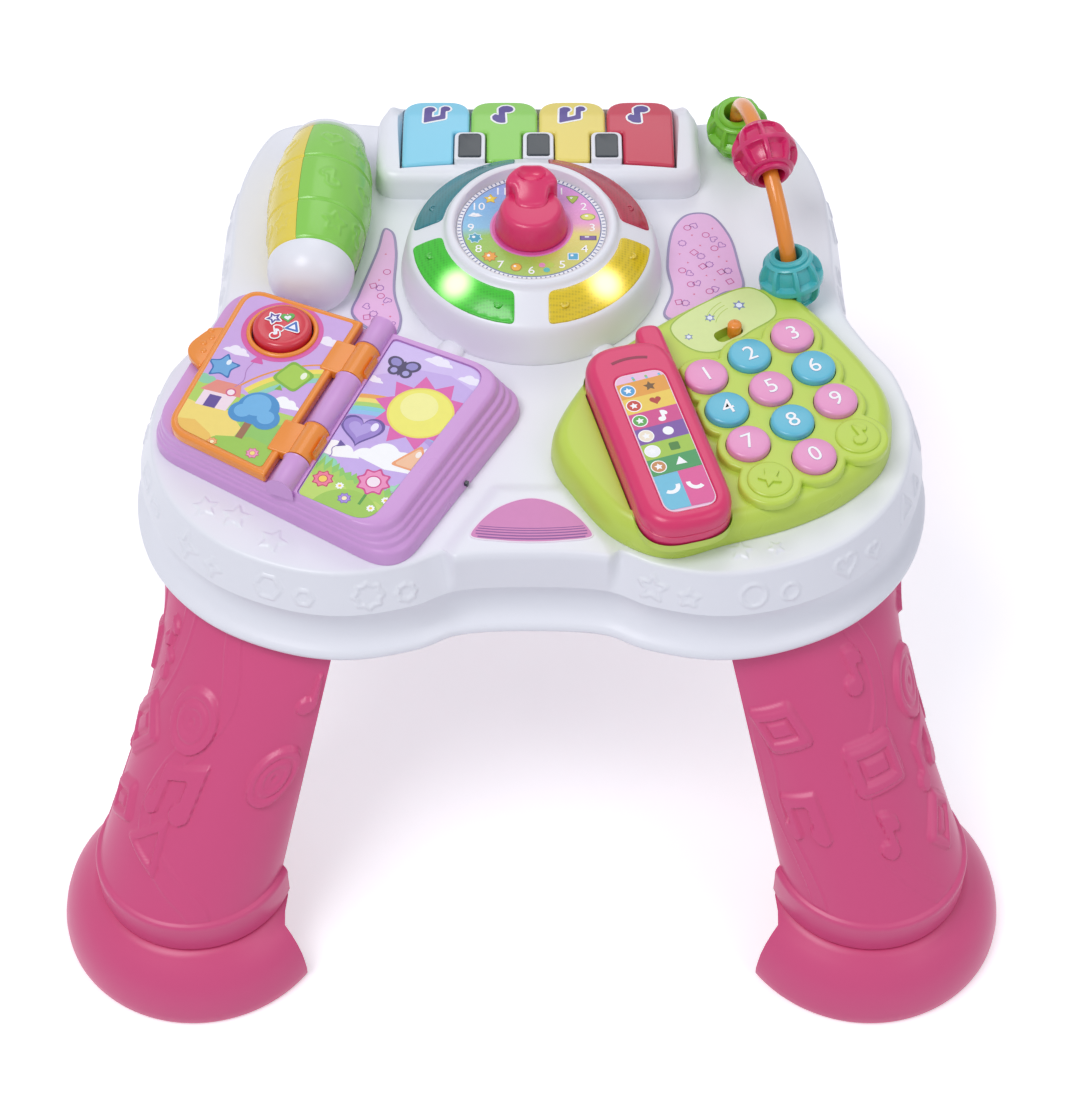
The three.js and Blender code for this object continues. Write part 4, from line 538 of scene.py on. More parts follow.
DRUM_PLACE, DRUM_YAW, DRUM_AXIS = (-124.5, 112.0), -0.05, 281.0
DRUM_FRONT, DRUM_BACK, DRUM_RADIUS = -52.0, 48.0, 30.0
# Raised play shapes along the band: the first one's place from the front, the step between pairs, and
# the place, height and size of a pair's large and small shape.
MARK_COUNT, MARK_START, MARK_STEP, MARK_SPAN = 13, 66.0, 57.0, 24.0
MARK_PAIR = [(0.0, 12.0, 8.4), (21.0, 10.0, 5.6)]
RIBBON_RISE = 0.95


def tray_outline(count):
    """The tray's plan, anticlockwise from the middle of the front, with its outward directions."""
    right = [(x * TRAY_WIDTH, y * TRAY_FRONT) for x, y in FRONT_SHARES]
    right += [(x * TRAY_WIDTH, y * TRAY_BACK) for x, y in BACK_SHARES]
    left = [(-x, y) for x, y in right[1:-1]][::-1]
    outline = smooth_closed(right + left, count)
    return outline, normals_of(outline)


def band_share(outline):
    """1 where the band leans in, 0 in the middle of the front, with a short step between."""
    share = ramp(np.abs(outline[:, 0]), 40.5, 45.5)
    return np.where(outline[:, 1] > 0, 1.0, share)


def deck_height(x, y):
    """The deck with its label hump and five low stars raised from it, each by a smooth step over the
    distance to its outline."""
    z = DECK + HUMP_RISE * ramp(-polygon_distance(x, y, HUMP), -7, 3)
    for sx, sy, size, turn in STARS:
        near = np.hypot(x - sx, y - sy) < size * 1.4
        if near.any():
            d = polygon_distance(x[near], y[near], star(size, 0.52, 5, turn) + (sx, sy))
            z[near] += STAR_RISE * ramp(-d, -0.5, 0.9)
    return z


def band_marks(length):
    """The raised play shapes along the band as (place along the outline, height up it, corners), in pairs
    of a large and a small one, the same number on both sides."""
    kinds = [lambda r: star(r), lambda r: circle(r * 0.85, 28), lambda r: heart(r * 0.95, 26),
             lambda r: star(r * 1.05, 0.5, 3), lambda r: rounded(box_corners(r * 0.8, r * 0.8), r * 0.4, 4),
             lambda r: star(r, 0.78, 8), lambda r: circle(r * 0.9, 6), lambda r: star(r * 1.05, 0.4, 4),
             lambda r: rounded(box_corners(r * 0.95, r * 0.55), r * 0.3, 4)]
    marks = []
    for n in range(MARK_COUNT):
        place = MARK_START + n * MARK_STEP
        for where, first in ((place, 0), (length - place - MARK_SPAN, 5)):
            kind = kinds[(n + first) % len(kinds)]
            marks += [(where + along, up, kind(size)) for along, up, size in MARK_PAIR]
    return marks


def band_relief(count, rows, length):
    """Height of the raised ribbons at each column along the band and each row up it: a smooth step over
    the distance to each shape's outline, 1.7 mm to either side of it."""
    rise = math.hypot(BAND_HIGH - BAND_LOW, BAND_LEAN)
    high = np.linspace(0, rise, rows)
    along = np.arange(count) / count * length
    relief = np.zeros((rows, count))
    for where, up, corners in band_marks(length):
        columns = np.flatnonzero(np.abs(along - where) < 12)
        x, y = np.meshgrid(along[columns] - where, high - up)
        d = polygon_distance(x, y, corners)
        relief[:, columns] = np.maximum(relief[:, columns], RIBBON_RISE * ramp(-np.abs(d), -1.7, -0.5))
    return relief


def drum_opening(gap, height, count=60):
    """The outline at a height of the drum's own shape grown by a gap: the half width of a circle whose
    radius falls off from the middle of the drum to its ends."""
    y = np.linspace(DRUM_FRONT - .5, DRUM_BACK + .5, count)
    half = np.sqrt((drum_radius(y) + gap) ** 2 - (DRUM_AXIS - height) ** 2)
    right, left = np.column_stack([half, y]), np.column_stack([-half, y])
    return turned_about(np.concatenate([right, left[::-1]]), DRUM_YAW, DRUM_PLACE)


def drum_radius(y):
    """Radius of the barrel at a place along its axis: it falls off with the square of the place, by 5.5 mm
    to the front end and 8 mm to the back end."""
    fall = np.where(y < 0, 5.5 * (y / DRUM_FRONT) ** 2, 8.0 * (y / DRUM_BACK) ** 2)
    return DRUM_RADIUS - fall


def cut_plane(loops, wanted, extra=()):
    """Triangles of the plane as cut by closed loops, with extra points inside them: the kept ones lie
    within exactly the wanted loops."""
    points, faces = [], []
    for loop in loops:
        faces.append(list(range(len(points), len(points) + len(loop))))
        points += anticlockwise(loop).tolist()
    points += np.asarray(extra, float).reshape(-1, 2).tolist()
    spots, _, triangles, _, _, origins = delaunay_2d_cdt(points, [], faces, 0, 1e-6)
    kept = [t for t, origin in zip(triangles, origins) if set(origin) == wanted]
    return np.array(spots, float).reshape(-1, 2), kept


def filled(outline, height, holes=(), extra=(), flip=False):
    """A face within an outline at a height or on a rule z = f(x, y), round some holes and through extra
    points."""
    spots, kept = cut_plane([outline, *holes], {0}, extra)
    return with_height(spots, heights_of(height, *spots.T)), [t[::-1] for t in kept] if flip else kept


def shell(rings, top, holes=(), extra=(), through=()):
    """A skin through rings, with a filled top at a height or on a rule and a flat underside: some holes are
    only in the top, and others go through both."""
    return [skin_through(rings), filled(rings[-1][:, :2], top, [*through, *holes], extra),
            filled(rings[0][:, :2], rings[0][0, 2], through, flip=True)]


def stacked(plan, outward, steps):
    """Rings of a plan, each (how far in, height)."""
    return [with_height(plan - outward * inset, z) for inset, z in steps]


def inside(x, y, corners, margin=0.0):
    """True for points inside a polygon by at least a margin."""
    return polygon_distance(x, y, corners) < -margin


def grid_points(low, high, step):
    """Points of a square grid between two corners."""
    x, y = np.meshgrid(np.arange(low[0], high[0], step), np.arange(low[1], high[1], step))
    return np.column_stack([x.ravel(), y.ravel()])


def make_tray():
    """The tray's white shell: a lip, a cove under the sloping band with its raised shapes, a flat deck
    with the label hump, a thin inside, the two hoods of the drum, and small bumps."""
    count, band_rows = 1440, 31
    outline, outward = tray_outline(count)
    length = np.linalg.norm(np.roll(outline, -1, 0) - outline, axis=1).sum()
    share = band_share(outline)

    lean = BAND_LEAN * share
    rings = [with_height(outline + outward * (reach - leans * lean)[:, None], height)
             for height, reach, leans in UNDER_BAND]
    for t, bulge in zip(np.linspace(0, 1, band_rows), band_relief(count, band_rows, length) * share):
        rings.append(with_height(outline + outward * (bulge * 0.95 - t * lean)[:, None],
                                 BAND_LOW + t * (BAND_HIGH - BAND_LOW) + bulge * 0.3))
    lift = deck_height(*(outline - outward * BAND_EDGE).T) - DECK
    rings += round_over(outline, outward, lean, BAND_EDGE, BAND_HIGH, BAND_EDGE + lift, quarter(5)[1:-1])
    for inset in (BAND_EDGE, BAND_EDGE + 1.2):
        edge = outline - outward * (inset + lean)[:, None]
        rings.append(with_height(edge, deck_height(*edge.T)))
    hole = drum_opening(1.8, DECK)
    extra = [grid_points((-52, -152), (52, -88), 2.0), grid_points((-230, -170), (230, 212), 12.0)]
    for x, y, size, _ in STARS:
        reach = size * 1.3
        extra.append(grid_points((x - reach, y - reach), (x + reach, y + reach), 0.7))
    extra = np.concatenate(extra)
    extra = extra[inside(*extra.T, edge[::12], 3.0) & ~inside(*extra.T, hole, -3.0)]
    parts = [*shell(rings, deck_height, extra=extra, through=[hole]), wall(hole, CEILING, DECK)]
    for x, y in ((-46, 8), (42, 5)):
        dome = [(7.8 * math.cos(a), 265.6 + 5.0 * math.sin(a)) for a in np.linspace(0, 1.5, 9)]
        parts.append(lathe([(8.6, 263.0), (8.4, 265.2), *dome, (0.01, 270.62)], 48, x, y))
    parts += [hood(DRUM_FRONT - .8, -1, 25.2, 25.0), hood(DRUM_BACK + .8, 1, 22.4, 9.5)]
    piece("tray_shell", clad(parts, WHITE), "table", ["top_shell"])


def hood(face, way, radius, depth):
    """One end cover of the drum, turned about the drum's axis: with t from 0 at its face to 1 at its far
    end, its radius is that of the face times the root of 1 - t to the power 2.3, of the same order."""
    t = np.concatenate([[0, 0.04], np.linspace(0.08, 1, 22) ** 0.75])
    reach = radius * np.power(np.maximum(1 - t ** 2.3, 0), 1 / 2.3)
    reach[0] = radius - 0.8
    reach[-1] = 0.02
    angle = np.arange(72) / 72 * TAU
    y = np.repeat((face + way * depth * t)[:, None], 72, 1)
    points, faces = skin_through(np.stack([reach[:, None] * np.cos(angle), y,
                                           DRUM_AXIS + reach[:, None] * np.sin(angle)], -1))
    return turned_about(points, DRUM_YAW, DRUM_PLACE), faces + [list(range(72))]


# ---------------------------------------------------------------- legs

FOOT = {"front": ((196.0, -196.0), -math.pi / 4, (0.156, 0.346)),
        "back": ((161.0, 196.0), 0.87, (0.655, 0.84))}
LEG_RADIUS, COLLAR_FOOT, SHAFT_FOOT, SHAFT_TOP = 54.0, 42.0, 66.3, 206.7
LEG_WALL, LEG_CUT = 5.0, 27.0
BELL_NARROW, BELL_FLARE = 57.0, 23.0
# The bell foot as (share of the height to the collar, share of the flare), and the collar as (height,
# step outward from the shaft).
BELL = [(0, .93), (.015, .955), (.04, .975), (.08, 1), (.2, 1), (.35, .95), (.5, .87), (.65, .72),
        (.78, .52), (.88, .3), (.95, .13), (1, .02)]
COLLAR = [(42.3, .5), (42.8, 1.5), (43.9, 2.4), (45.2, 2.8), (55, 2.7), (62.4, 2.9), (63.8, 2.8),
          (65.0, 2.3), (65.8, 1.4), (66.15, 0.05)]
# Raised shapes on the legs' outsides: place along the unrolled leg, height above the collar, kind,
# size and turn.
LEG_MARKS = {1: [(-2, 115, "note", 11, .1), (39, 88, "rings", 16.5, 0), (-7, 72, "square", 17, 0),
                 (32, 59, "pair", 16, 0), (-16, 40, "note", 11, 0), (22, 29, "square", 13, .8),
                 (-52, 95, "square", 15, .3), (-60, 50, "pair", 15, 0), (62, 118, "note", 10, .2),
                 (70, 62, "rings", 15, 0)],
             -1: [(-1, 91, "rings", 16, 0), (36, 69, "square", 16, .8), (-5, 58.5, "pair", 17, 0),
                  (-3, 30.5, "triangle", 17, -.35), (36, 115, "note", 8, 0), (33, 101, "note", 8, .3),
                  (29, 35, "square", 12, .4), (-58, 70, "rings", 15, 0), (-62, 112, "note", 11, 0),
                  (66, 92, "pair", 14, 0), (70, 45, "triangle", 15, .2)]}
# Low swirls that cross each leg, as the middle line of a band.
LEG_SWIRLS = {1: [[(2, 141), (10, 125), (15, 112), (11, 95), (0, 82), (-12, 72), (-22, 62), (-24, 48),
                   (-18, 26), (-3, 7), (8, -3)],
                  [(-70, 141), (-78, 112), (-66, 80), (-80, 48), (-72, 12), (-76, -3)]],
              -1: [[(-7, 141), (-9, 128), (-15, 114), (-18, 100), (-10, 84), (2, 70), (9, 48), (4, 34),
                    (-12, 24), (-28, 15), (-42, 8), (-52, -3)], [(24, 141), (24, 112), (30, 92), (38, 76)],
                   [(62, 141), (58, 120), (66, 70), (58, 20), (60, -3)]]}

def note_corners(size):
    """A quaver's outline: an oval head, a stem and one flag, drawn 20 units high and scaled to a size."""
    corners = [(-6.6, -5.5), (-5.6, -8.4), (-2.4, -10), (1.6, -9.4), (4.2, -6.6), (4.0, 1.6), (6.6, 0.4),
               (8.8, 3), (8.4, 6.2), (5.4, 9.0), (2.2, 10), (-1.0, 9.6), (-0.4, -1.8), (-3.4, -1.6),
               (-5.8, -3)]
    return rounded(np.array(corners) * size / 10, size * .07, 3)


def pair_corners(size):
    """Two quavers joined by a slanting beam, drawn 20 units high and scaled to a size."""
    corners = [(-10, -6), (-8.6, -8.8), (-5.6, -9.4), (-3, -7.6), (-2.6, 2.0), (3.4, 4.0), (3.2, -2.2),
               (1.4, -3.2), (0.8, -5.6), (2.6, -8), (6, -8.4), (8.8, -6.4), (9.2, 9.8), (-6.4, 5.4),
               (-6.4, -3.2), (-8.8, -3.4)]
    return rounded(np.array(corners) * size / 10, size * .07, 3)


def nested(d, steps):
    """Terraced height from a signed distance, negative inside: each step is (how far in its middle lies,
    rise), and is a smooth step 1.6 mm wide."""
    return sum(rise * ramp(-d, at - 0.8, at + 0.8) for at, rise in steps)


def leg_relief(along, high, side):
    """The relief of a leg over its unrolled outside: distance along it in mm and height above the collar.
    Pads with nested forms stand about 3 mm proud, notes 2.4 mm, and swirls under a millimetre, each a low
    band with a fine ridge along both its edges."""
    relief = np.zeros(along.shape)
    for path in LEG_SWIRLS[side]:
        line = np.array(soft_line(path, 24))
        off = np.abs(polygon_distance(along, high, np.concatenate([line, line[-2:0:-1]])))
        ridge = 0.35 * ramp(-np.abs(off - 4.3), -1.3, -0.2)
        relief = np.maximum(relief, 0.45 * ramp(-off, -5.6, -4.6) + ridge)
    for place, height, kind, size, turn in LEG_MARKS[side]:
        near = np.hypot(along - place, high - height) < size * 1.5
        x, y = side * (along[near] - place), high[near] - height
        c, s = math.cos(turn), math.sin(turn)
        u, v = c * x + s * y, -s * x + c * y
        if kind == "rings":
            rise = nested(np.hypot(u, v) - size, [(0.9, 3.0), (0.30 * size, -.9), (0.42 * size, .9),
                                                  (0.62 * size, -.8), (0.9 * size, -.9)])
        elif kind == "square":
            d = polygon_distance(u, v, rounded(box_corners(size, size * .8), size * .34, 6))
            rise = nested(d, [(0.9, 2.2), (0.2 * size, 1.1), (0.44 * size, -2.0), (0.6 * size, 1.5)])
        elif kind == "triangle":
            d = polygon_distance(u, v, rounded(star(size * 1.1, 0.5, 3), size * .24, 6))
            rise = nested(d, [(0.9, 2.0), (0.15 * size, 1.0), (0.28 * size, -2.0)])
        else:
            d = polygon_distance(u, v, note_corners(size) if kind == "note" else pair_corners(size))
            rise = 2.6 * ramp(-d, -0.5, 1.2)
        relief[near] = np.where(rise > 0.1, rise, relief[near])
    return relief


def leg_arc(shares, count):
    """The arc of the tray's corner that a leg's top follows, 6 mm in from the outline: from one share of
    the half outline to another."""
    outline, outward = tray_outline(2880)
    place = (shares[0] + (shares[1] - shares[0]) * np.linspace(0, 1, count)) / 2 * 2880
    low = place.astype(int)
    part = (place - low)[:, None]
    spots = outline - outward * 6
    return spots[low] * (1 - part) + spots[(low + 1) % 2880] * part


def make_leg(name, kind, side):
    """A C-shaped leg: a flared foot, a collar with a rounded top edge, and a shaft that opens out from a
    circle to the tray's corner, with raised shapes on its outside and a plain inside."""
    foot, outward, shares = FOOT[kind]
    columns = 277
    foot = np.array(foot)
    centre = foot - 1.4 * np.array([math.cos(outward), math.sin(outward)])

    def arc(middle, radius, inset):
        half = math.acos(-inset / radius)
        angle = outward - half + np.linspace(0, 1, columns) * 2 * half
        return middle + radius * np.column_stack([np.cos(angle), np.sin(angle)])

    rows = [arc(foot, BELL_NARROW + reach * BELL_FLARE, 13 + 14 * ramp(share, 0.9, 1.02)) for share,
            reach in BELL]
    heights = [share * COLLAR_FOOT for share, _ in BELL]
    rows += [arc(centre, LEG_RADIUS + 0.3 + step, LEG_CUT) for _, step in COLLAR]
    heights += [height for height, _ in COLLAR]
    share = np.linspace(0.002, 1, 184)
    low, top = arc(centre, LEG_RADIUS, LEG_CUT), leg_arc(shares, columns)
    shaft = low + (top - low) * share[:, None, None]
    high = np.repeat((SHAFT_TOP - SHAFT_FOOT) * share[:, None], columns, 1)
    steps = np.linalg.norm(np.diff(shaft, axis=1), axis=2)
    along = np.concatenate([np.zeros((len(share), 1)), np.cumsum(steps, axis=1)], 1)
    along -= along[:, -1:] / 2
    relief = leg_relief(along, high, side) * ramp(high, 0, 2) * ramp(-high, -139, -137)
    relief *= ramp(columns / 2 - np.abs(np.arange(columns) - columns / 2), 4, 9)
    plain = np.concatenate([np.array(rows), shaft])
    heights = np.concatenate([heights, SHAFT_FOOT + high[:, 0]])
    across = unit(np.gradient(plain, axis=1))
    out = np.stack([across[..., 1], -across[..., 0]], -1)
    relief = np.concatenate([np.zeros((len(rows), columns)), relief])
    outer, inner = plain + out * relief[..., None], plain - out * LEG_WALL
    ring = np.concatenate([outer, inner[:, ::12][:, ::-1]], 1)
    spots = np.concatenate([ring, np.repeat(heights[:, None], ring.shape[1], 1)[..., None]], -1)
    chord = top[-1] - top[0]
    inward = unit(np.array([-chord[1], chord[0]]))
    plate = np.concatenate([top[::12], [top[-1] + inward * 20, top[0] + inward * 20]])
    shapes = [loft(spots), loft([with_height(plate, 203.2), with_height(plate, 206.6)])]
    if side < 0:
        shapes = [(s * (-1, 1, 1), [tuple(f)[::-1] for f in q]) for s, q in shapes]
    piece(name + "_shown", clad(shapes, PINK), "table", [name])


def make_legs():
    """All four legs; the left ones are mirrored in form but carry their own shapes."""
    for name, kind, side in (("leg_front_right", "front", 1), ("leg_front_left", "front", -1),
                             ("leg_back_right", "back", 1), ("leg_back_left", "back", -1)):
        make_leg(name, kind, side)


# ---------------------------------------------------------------- prints


def glyph(text, size, bold=0.0):
    """A plain numeral in Blender's own typeface as points and faces in the plane, centred."""
    curve = bpy.data.curves.new("glyph", "FONT")
    curve.body, curve.size, curve.offset, curve.resolution_u = text, size, bold, 5
    item = bpy.data.objects.new("glyph", curve)
    show(item)
    bpy.context.view_layer.update()
    mesh = bpy.data.meshes.new_from_object(item.evaluated_get(bpy.context.evaluated_depsgraph_get()))
    spots = np.zeros(len(mesh.vertices) * 3)
    mesh.vertices.foreach_get("co", spots)
    spots = spots.reshape(-1, 3)[:, :2]
    faces = [tuple(polygon.vertices) for polygon in mesh.polygons]
    bpy.data.objects.remove(item)
    bpy.data.curves.remove(curve)
    bpy.data.meshes.remove(mesh)
    return spots - (spots.max(0) + spots.min(0)) / 2, faces


def loops_of(shape):
    """A plane form as a list of closed loops: an outline is one loop, and further loops are its holes."""
    if isinstance(shape, list) and isinstance(shape[0], np.ndarray):
        return shape
    return [np.asarray(shape, float)]


def stamp(shape, code, height, place=(0, 0), turn=0.0, size=1.0):
    """A printed form: a plane outline, loops, or points with faces, sized, turned and put at a place. The
    faces look up, and height is a number or a rule for z from x and y."""
    points, faces = shape if isinstance(shape, tuple) else cut_plane(loops_of(shape), {0})
    points = turned_about(np.asarray(points, float) * size, turn, place)
    upward = [list(face) if polygon_area(points[list(face)]) > 0 else list(face)[::-1] for face in faces]
    return with_height(points, heights_of(height, *points.T)), upward, ink(code)


def prints(name, parts, body, replaced=()):
    """Printed forms as one piece that rides on a body."""
    piece(name, parts, body, replaced, weld=False)


def artist(page, level, to_table):
    """A list of printed forms and the function that adds one to it: each is cut to the page, and lies a
    hair above the one before."""
    drawn = []

    def add(shape, code, place=(0, 0), turn=0.0, squash=1.0):
        loops = [turned_about(loop * (1, squash), turn, place) for loop in loops_of(shape)]
        points, faces = cut_plane([page, *loops], {0, 1})
        if faces:
            drawn.append(stamp((to_table(points), faces), code, level + 0.004 * len(drawn)))

    return drawn, add


def ribbon(path, width):
    """The outline of an open line of a given width."""
    path = np.asarray(path, float)
    along = unit(np.gradient(path, axis=0))
    side = np.stack([along[:, 1], -along[:, 0]], 1) * width / 2
    return np.concatenate([path + side, (path - side)[::-1]])


def hoop(path, width):
    """The two loops of a closed line of a given width."""
    path = np.asarray(path, float)
    outward = normals_of(path) * width / 2
    return [path + outward, path - outward]


def arc_path(radius, start, end, count=24, x=0.0, y=0.0):
    """Points of an arc between two angles in degrees."""
    angle = np.radians(np.linspace(start, end, count))
    return np.stack([x + radius * np.cos(angle), y + radius * np.sin(angle)], 1)


def cloud(size):
    """A cloud: a flat foot and four round bumps, from the outer points of overlapping circles."""
    angle = np.linspace(0, math.pi, 60)
    bumps = [(-0.62, 0, 0.34), (-0.2, 0.12, 0.46), (0.28, 0.08, 0.42), (0.68, -0.02, 0.3)]
    x = np.cos(angle)[::-1]
    y = np.zeros(60)
    for cx, cy, r in bumps:
        y = np.maximum(y, cy + np.sqrt(np.maximum(r * r - (x * 0.98 - cx) ** 2, 0)))
    outline = np.concatenate([np.column_stack([x, y]), [(-0.9, -0.12), (0.9, -0.12)]])
    return outline[::-1] * (size, 1.4 * size)


def cushion(outline, surface, thick, edge, step, steps=5, holes=()):
    """A thin piece whose top follows a rule z = f(x, y) or lies at one height: sides of a given
    thickness, a rounded rim of a given size, and a filled top and underside, round some holes."""
    outward = normals_of(outline)
    rim = heights_of(surface, *(outline - outward * edge).T)
    rings = stacked(outline, outward, [(0, (rim - thick).min()), (0, rim - thick)])
    rings += round_over(outline, outward, 0, edge, rim - edge, edge, quarter(steps))
    top = rings[-1][:, :2]
    extra = grid_points(top.min(0), top.max(0), step)
    extra = extra[inside(*extra.T, top, step * 0.4)]
    for hole in holes:
        extra = extra[~inside(*extra.T, hole, -step * 0.4)]
    return shell(rings, surface, extra=extra, through=holes)


# ---------------------------------------------------------------- clock

DOME_Y, DIAL_Z, BOSS_REACH, NUMERAL_REACH, PICTURE_REACH = 73.0, 300.4, 60.5, 34.9, 33.6
KNOB_FOOT = 301.0
DIAL = np.array([0.0, DOME_Y])
DOME = [(74.4, 264.8), (75.6, 265.1), (76, 266), (76, 268), (75.85, 270.3), (75.2, 274), (74.1, 279),
        (72.8, 284), (71.6, 287.4), (70.5, 289.3), (69.2, 290.4), (67.5, 291.3), (60, 295.3), (52.5, 299.1),
        (50.6, 300.3), (49.9, 301.5), (49.2, 302.8), (48.2, 303.7), (47, 304.1), (45.6, 304.0),
        (44.5, 303.3), (43.7, 301.8), (43.4, 299.2), (20, 298.9), (4.8, 298.9), (4.8, 296.4), (40.0, 296.2),
        (46, 297), (60, 291), (70, 280), (73.2, 265.0)]


def spoke(reach, degrees):
    """The point at a distance from the origin, at an angle anticlockwise from the x axis."""
    angle = math.radians(degrees)
    return reach * np.array([math.cos(angle), math.sin(angle)])


def make_dome():
    """The white clock dome, turned from its profile. Its lip stands up to 3.2 mm higher at the back, and
    below 283 mm it is cut flat where the piano stands behind it."""
    spots, faces = lathe(DOME, 144, 0, DOME_Y, loop=True)
    away = np.hypot(spots[:, 0], spots[:, 1] - DOME_Y)
    back = np.clip((spots[:, 1] - DOME_Y) / away, 0, 1) ** 1.5
    spots[:, 2] += 3.2 * back * (spots[:, 2] > 300.9) * ramp(away, 43.4, 44.2) * ramp(-away, -52, -49)
    cut = spots[:, 2] < 283.3
    spots[cut, 1] = np.minimum(spots[cut, 1], 141.0)
    piece("dome_shell", [(spots, faces, WHITE)], "table", ["clock_dome"])


def lens_surface(x, y):
    """The lens's top: a cone that falls 9.2 mm outward, with a parabola 1.1 mm high across it."""
    r = np.hypot(x, y - DOME_Y)
    share = (r - 50.5) / 18.3
    return 300.2 - share * 9.2 + 1.1 * (1 - (2 * share - 1) ** 2)


def lens_plan(way_x, way_y):
    """A quarter ring cut back beside the two white bars, with round corners, anticlockwise. The inner edge
    of the far ones moves outward by up to 6 mm, with the fourth power of the sine round the dial."""
    inner, outer, side, end = 51.2, 69.0, 9.6, 6.6
    out, back = [arc_path(reach, *np.degrees([math.asin(end / reach), math.acos(side / reach)]), count)
                 for reach, count in ((outer, 18), (inner, 14))]
    back = back[::-1]
    plan = rounded(np.concatenate([out[:1], out[2:-2], out[-1:], back[:1], back[2:-2], back[-1:]]),
                   [3.4] + [0.6] * 14 + [3.4, 3.4] + [0.6] * 10 + [3.4], 5)
    if way_y > 0:
        reach = np.hypot(*plan.T)
        slim = 6.0 * (plan[:, 1] / reach) ** 4 * (1 - (reach - inner) / (outer - inner))
        plan = plan * ((reach + slim) / reach)[:, None]
    plan = even(plan, 180) * (way_x, way_y)
    return (plan if way_x * way_y > 0 else plan[::-1]) + (0, DOME_Y)


def lens_material(name, code, glow=None):
    """Clear coloured acrylic in a deep tint, with an even grid of pits 1.8 mm apart whose middles are painted
    darker as painted shade, and where its lamp is lit, a bright spot that fades over the 26 mm round it."""
    material, tree = new_material(name)
    where = add_node(tree, "ShaderNodeTexCoord").outputs["Object"]
    colour = linear(code)
    pits = add_node(tree, "ShaderNodeTexVoronoi", in_Scale=pitch(1.7857), in_Randomness=0.0,
                    links=[("Vector", where)])
    depth = add_node(tree, "ShaderNodeMapRange", in_1=0.1, in_2=0.55, links=[(0, pits.outputs["Distance"])])
    # Pit middles painted darker, down to 0.72 of the tint: painted shade in the pits.
    tone = add_node(tree, "ShaderNodeMix", data_type="RGBA", in_6=shade(colour, 0.72), in_7=colour,
                    links=[("Factor", depth.outputs[0])])
    links = [("Base Color", tone.outputs[2])]
    if glow:
        away = add_node(tree, "ShaderNodeVectorMath", operation="DISTANCE", in_1=[v * MM for v in glow],
                        links=[(0, where)])
        fade = add_node(tree, "ShaderNodeMapRange", in_1=0.0015, in_2=0.026, in_3=1.0, in_4=0.0,
                        interpolation_type="SMOOTHERSTEP", links=[(0, away.outputs["Value"])])
        sharp = add_node(tree, "ShaderNodeMath", operation="POWER", in_1=2.6, links=[(0, fade.outputs[0])])
        light = add_node(tree, "ShaderNodeMath", operation="MULTIPLY", in_1=1.1,
                         links=[(0, sharp.outputs[0])])
        pale = add_node(tree, "ShaderNodeMix", data_type="RGBA", in_6=colour, in_7=(1.0, 1.0, 0.72, 1),
                        links=[("Factor", sharp.outputs[0])])
        links += [("Emission Color", pale.outputs[2]), ("Emission Strength", light.outputs[0])]
    skin = add_node(tree, "ShaderNodeBsdfPrincipled", in_IOR=1.49, in_Roughness=0.24,
                    in_Transmission_Weight=0.12, in_Coat_Weight=0.15, links=links)
    add_node(tree, "ShaderNodeOutputMaterial", links=[("Surface", skin.outputs[0])])
    return material


def make_lenses():
    """Four lamp lenses round the dial with a small screw boss or two in each; the two near ones are lit."""
    kinds = [("green", -1, -1, "#3fd02c", (-42.0, 32.0, 294.5)),
             ("yellow", 1, -1, "#efd21f", (41.2, 32.0, 294.5)),
             ("teal", -1, 1, "#2b8792", None), ("red", 1, 1, "#c02348", None)]
    for name, way_x, way_y, code, glow in kinds:
        shapes = cushion(lens_plan(way_x, way_y), lens_surface, 2.2, 0.9, 2.2)
        for angle in (18, 72) if way_y < 0 else (20,):
            x, y = spoke(BOSS_REACH, angle) * (way_x, way_y) + DIAL
            boss = np.add([(2.6, -1), (2.6, .1), (2.2, .4), (1.4, .35), (1.1, -.1), (.01, -.15)],
                          (0, lens_surface(x, y)))
            shapes.append(lathe(boss, 24, x, y))
        piece("lens_" + name + "_shown", clad(shapes, lens_material("clear_acrylic_" + name, code, glow)),
              "table",
              ["lens_" + name])


DIAL_STOPS = [(0.0, "#8cc7e8"), (1.0, "#8cc7e8"), (0.04, "#9aca58"), (0.24, "#a7c653"), (0.33, "#c9c85c"),
              (0.47, "#e6d975"), (0.52, "#eda3d2"), (0.63, "#df93d6"), (0.74, "#c995e0"), (0.79, "#a2a3e4"),
              (0.9, "#7fb8e9")]


def dial_material():
    """The printed face: to the eye, four colours that run into one another round the dial under a clear
    film, whose gloss varies a little every 3.3 mm."""
    material, tree = new_material("film_print_dial")
    where = add_node(tree, "ShaderNodeTexCoord").outputs["Object"]
    centred = add_node(tree, "ShaderNodeMapping", in_Location=(0, -DOME_Y * MM, 0),
                       links=[("Vector", where)])
    turn = add_node(tree, "ShaderNodeTexGradient", gradient_type="RADIAL",
                    links=[("Vector", centred.outputs[0])])
    tint = add_node(tree, "ShaderNodeValToRGB", links=[("Fac", turn.outputs["Fac"])])
    elements = tint.color_ramp.elements
    for i, (place, code) in enumerate(DIAL_STOPS):
        stop = elements[i] if i < 2 else elements.new(place)
        stop.position, stop.color = place, linear(code)
    grain = add_node(tree, "ShaderNodeTexNoise", in_Scale=pitch(3.3333), links=[("Vector", where)])
    gloss = add_node(tree, "ShaderNodeMapRange", in_3=0.22, in_4=0.32, links=[(0, grain.outputs["Fac"])])
    skin = add_node(tree, "ShaderNodeBsdfPrincipled", in_IOR=1.5,
                    links=[("Base Color", tint.outputs[0]), ("Roughness", gloss.outputs[0])])
    add_node(tree, "ShaderNodeOutputMaterial", links=[("Surface", skin.outputs[0])])
    return material


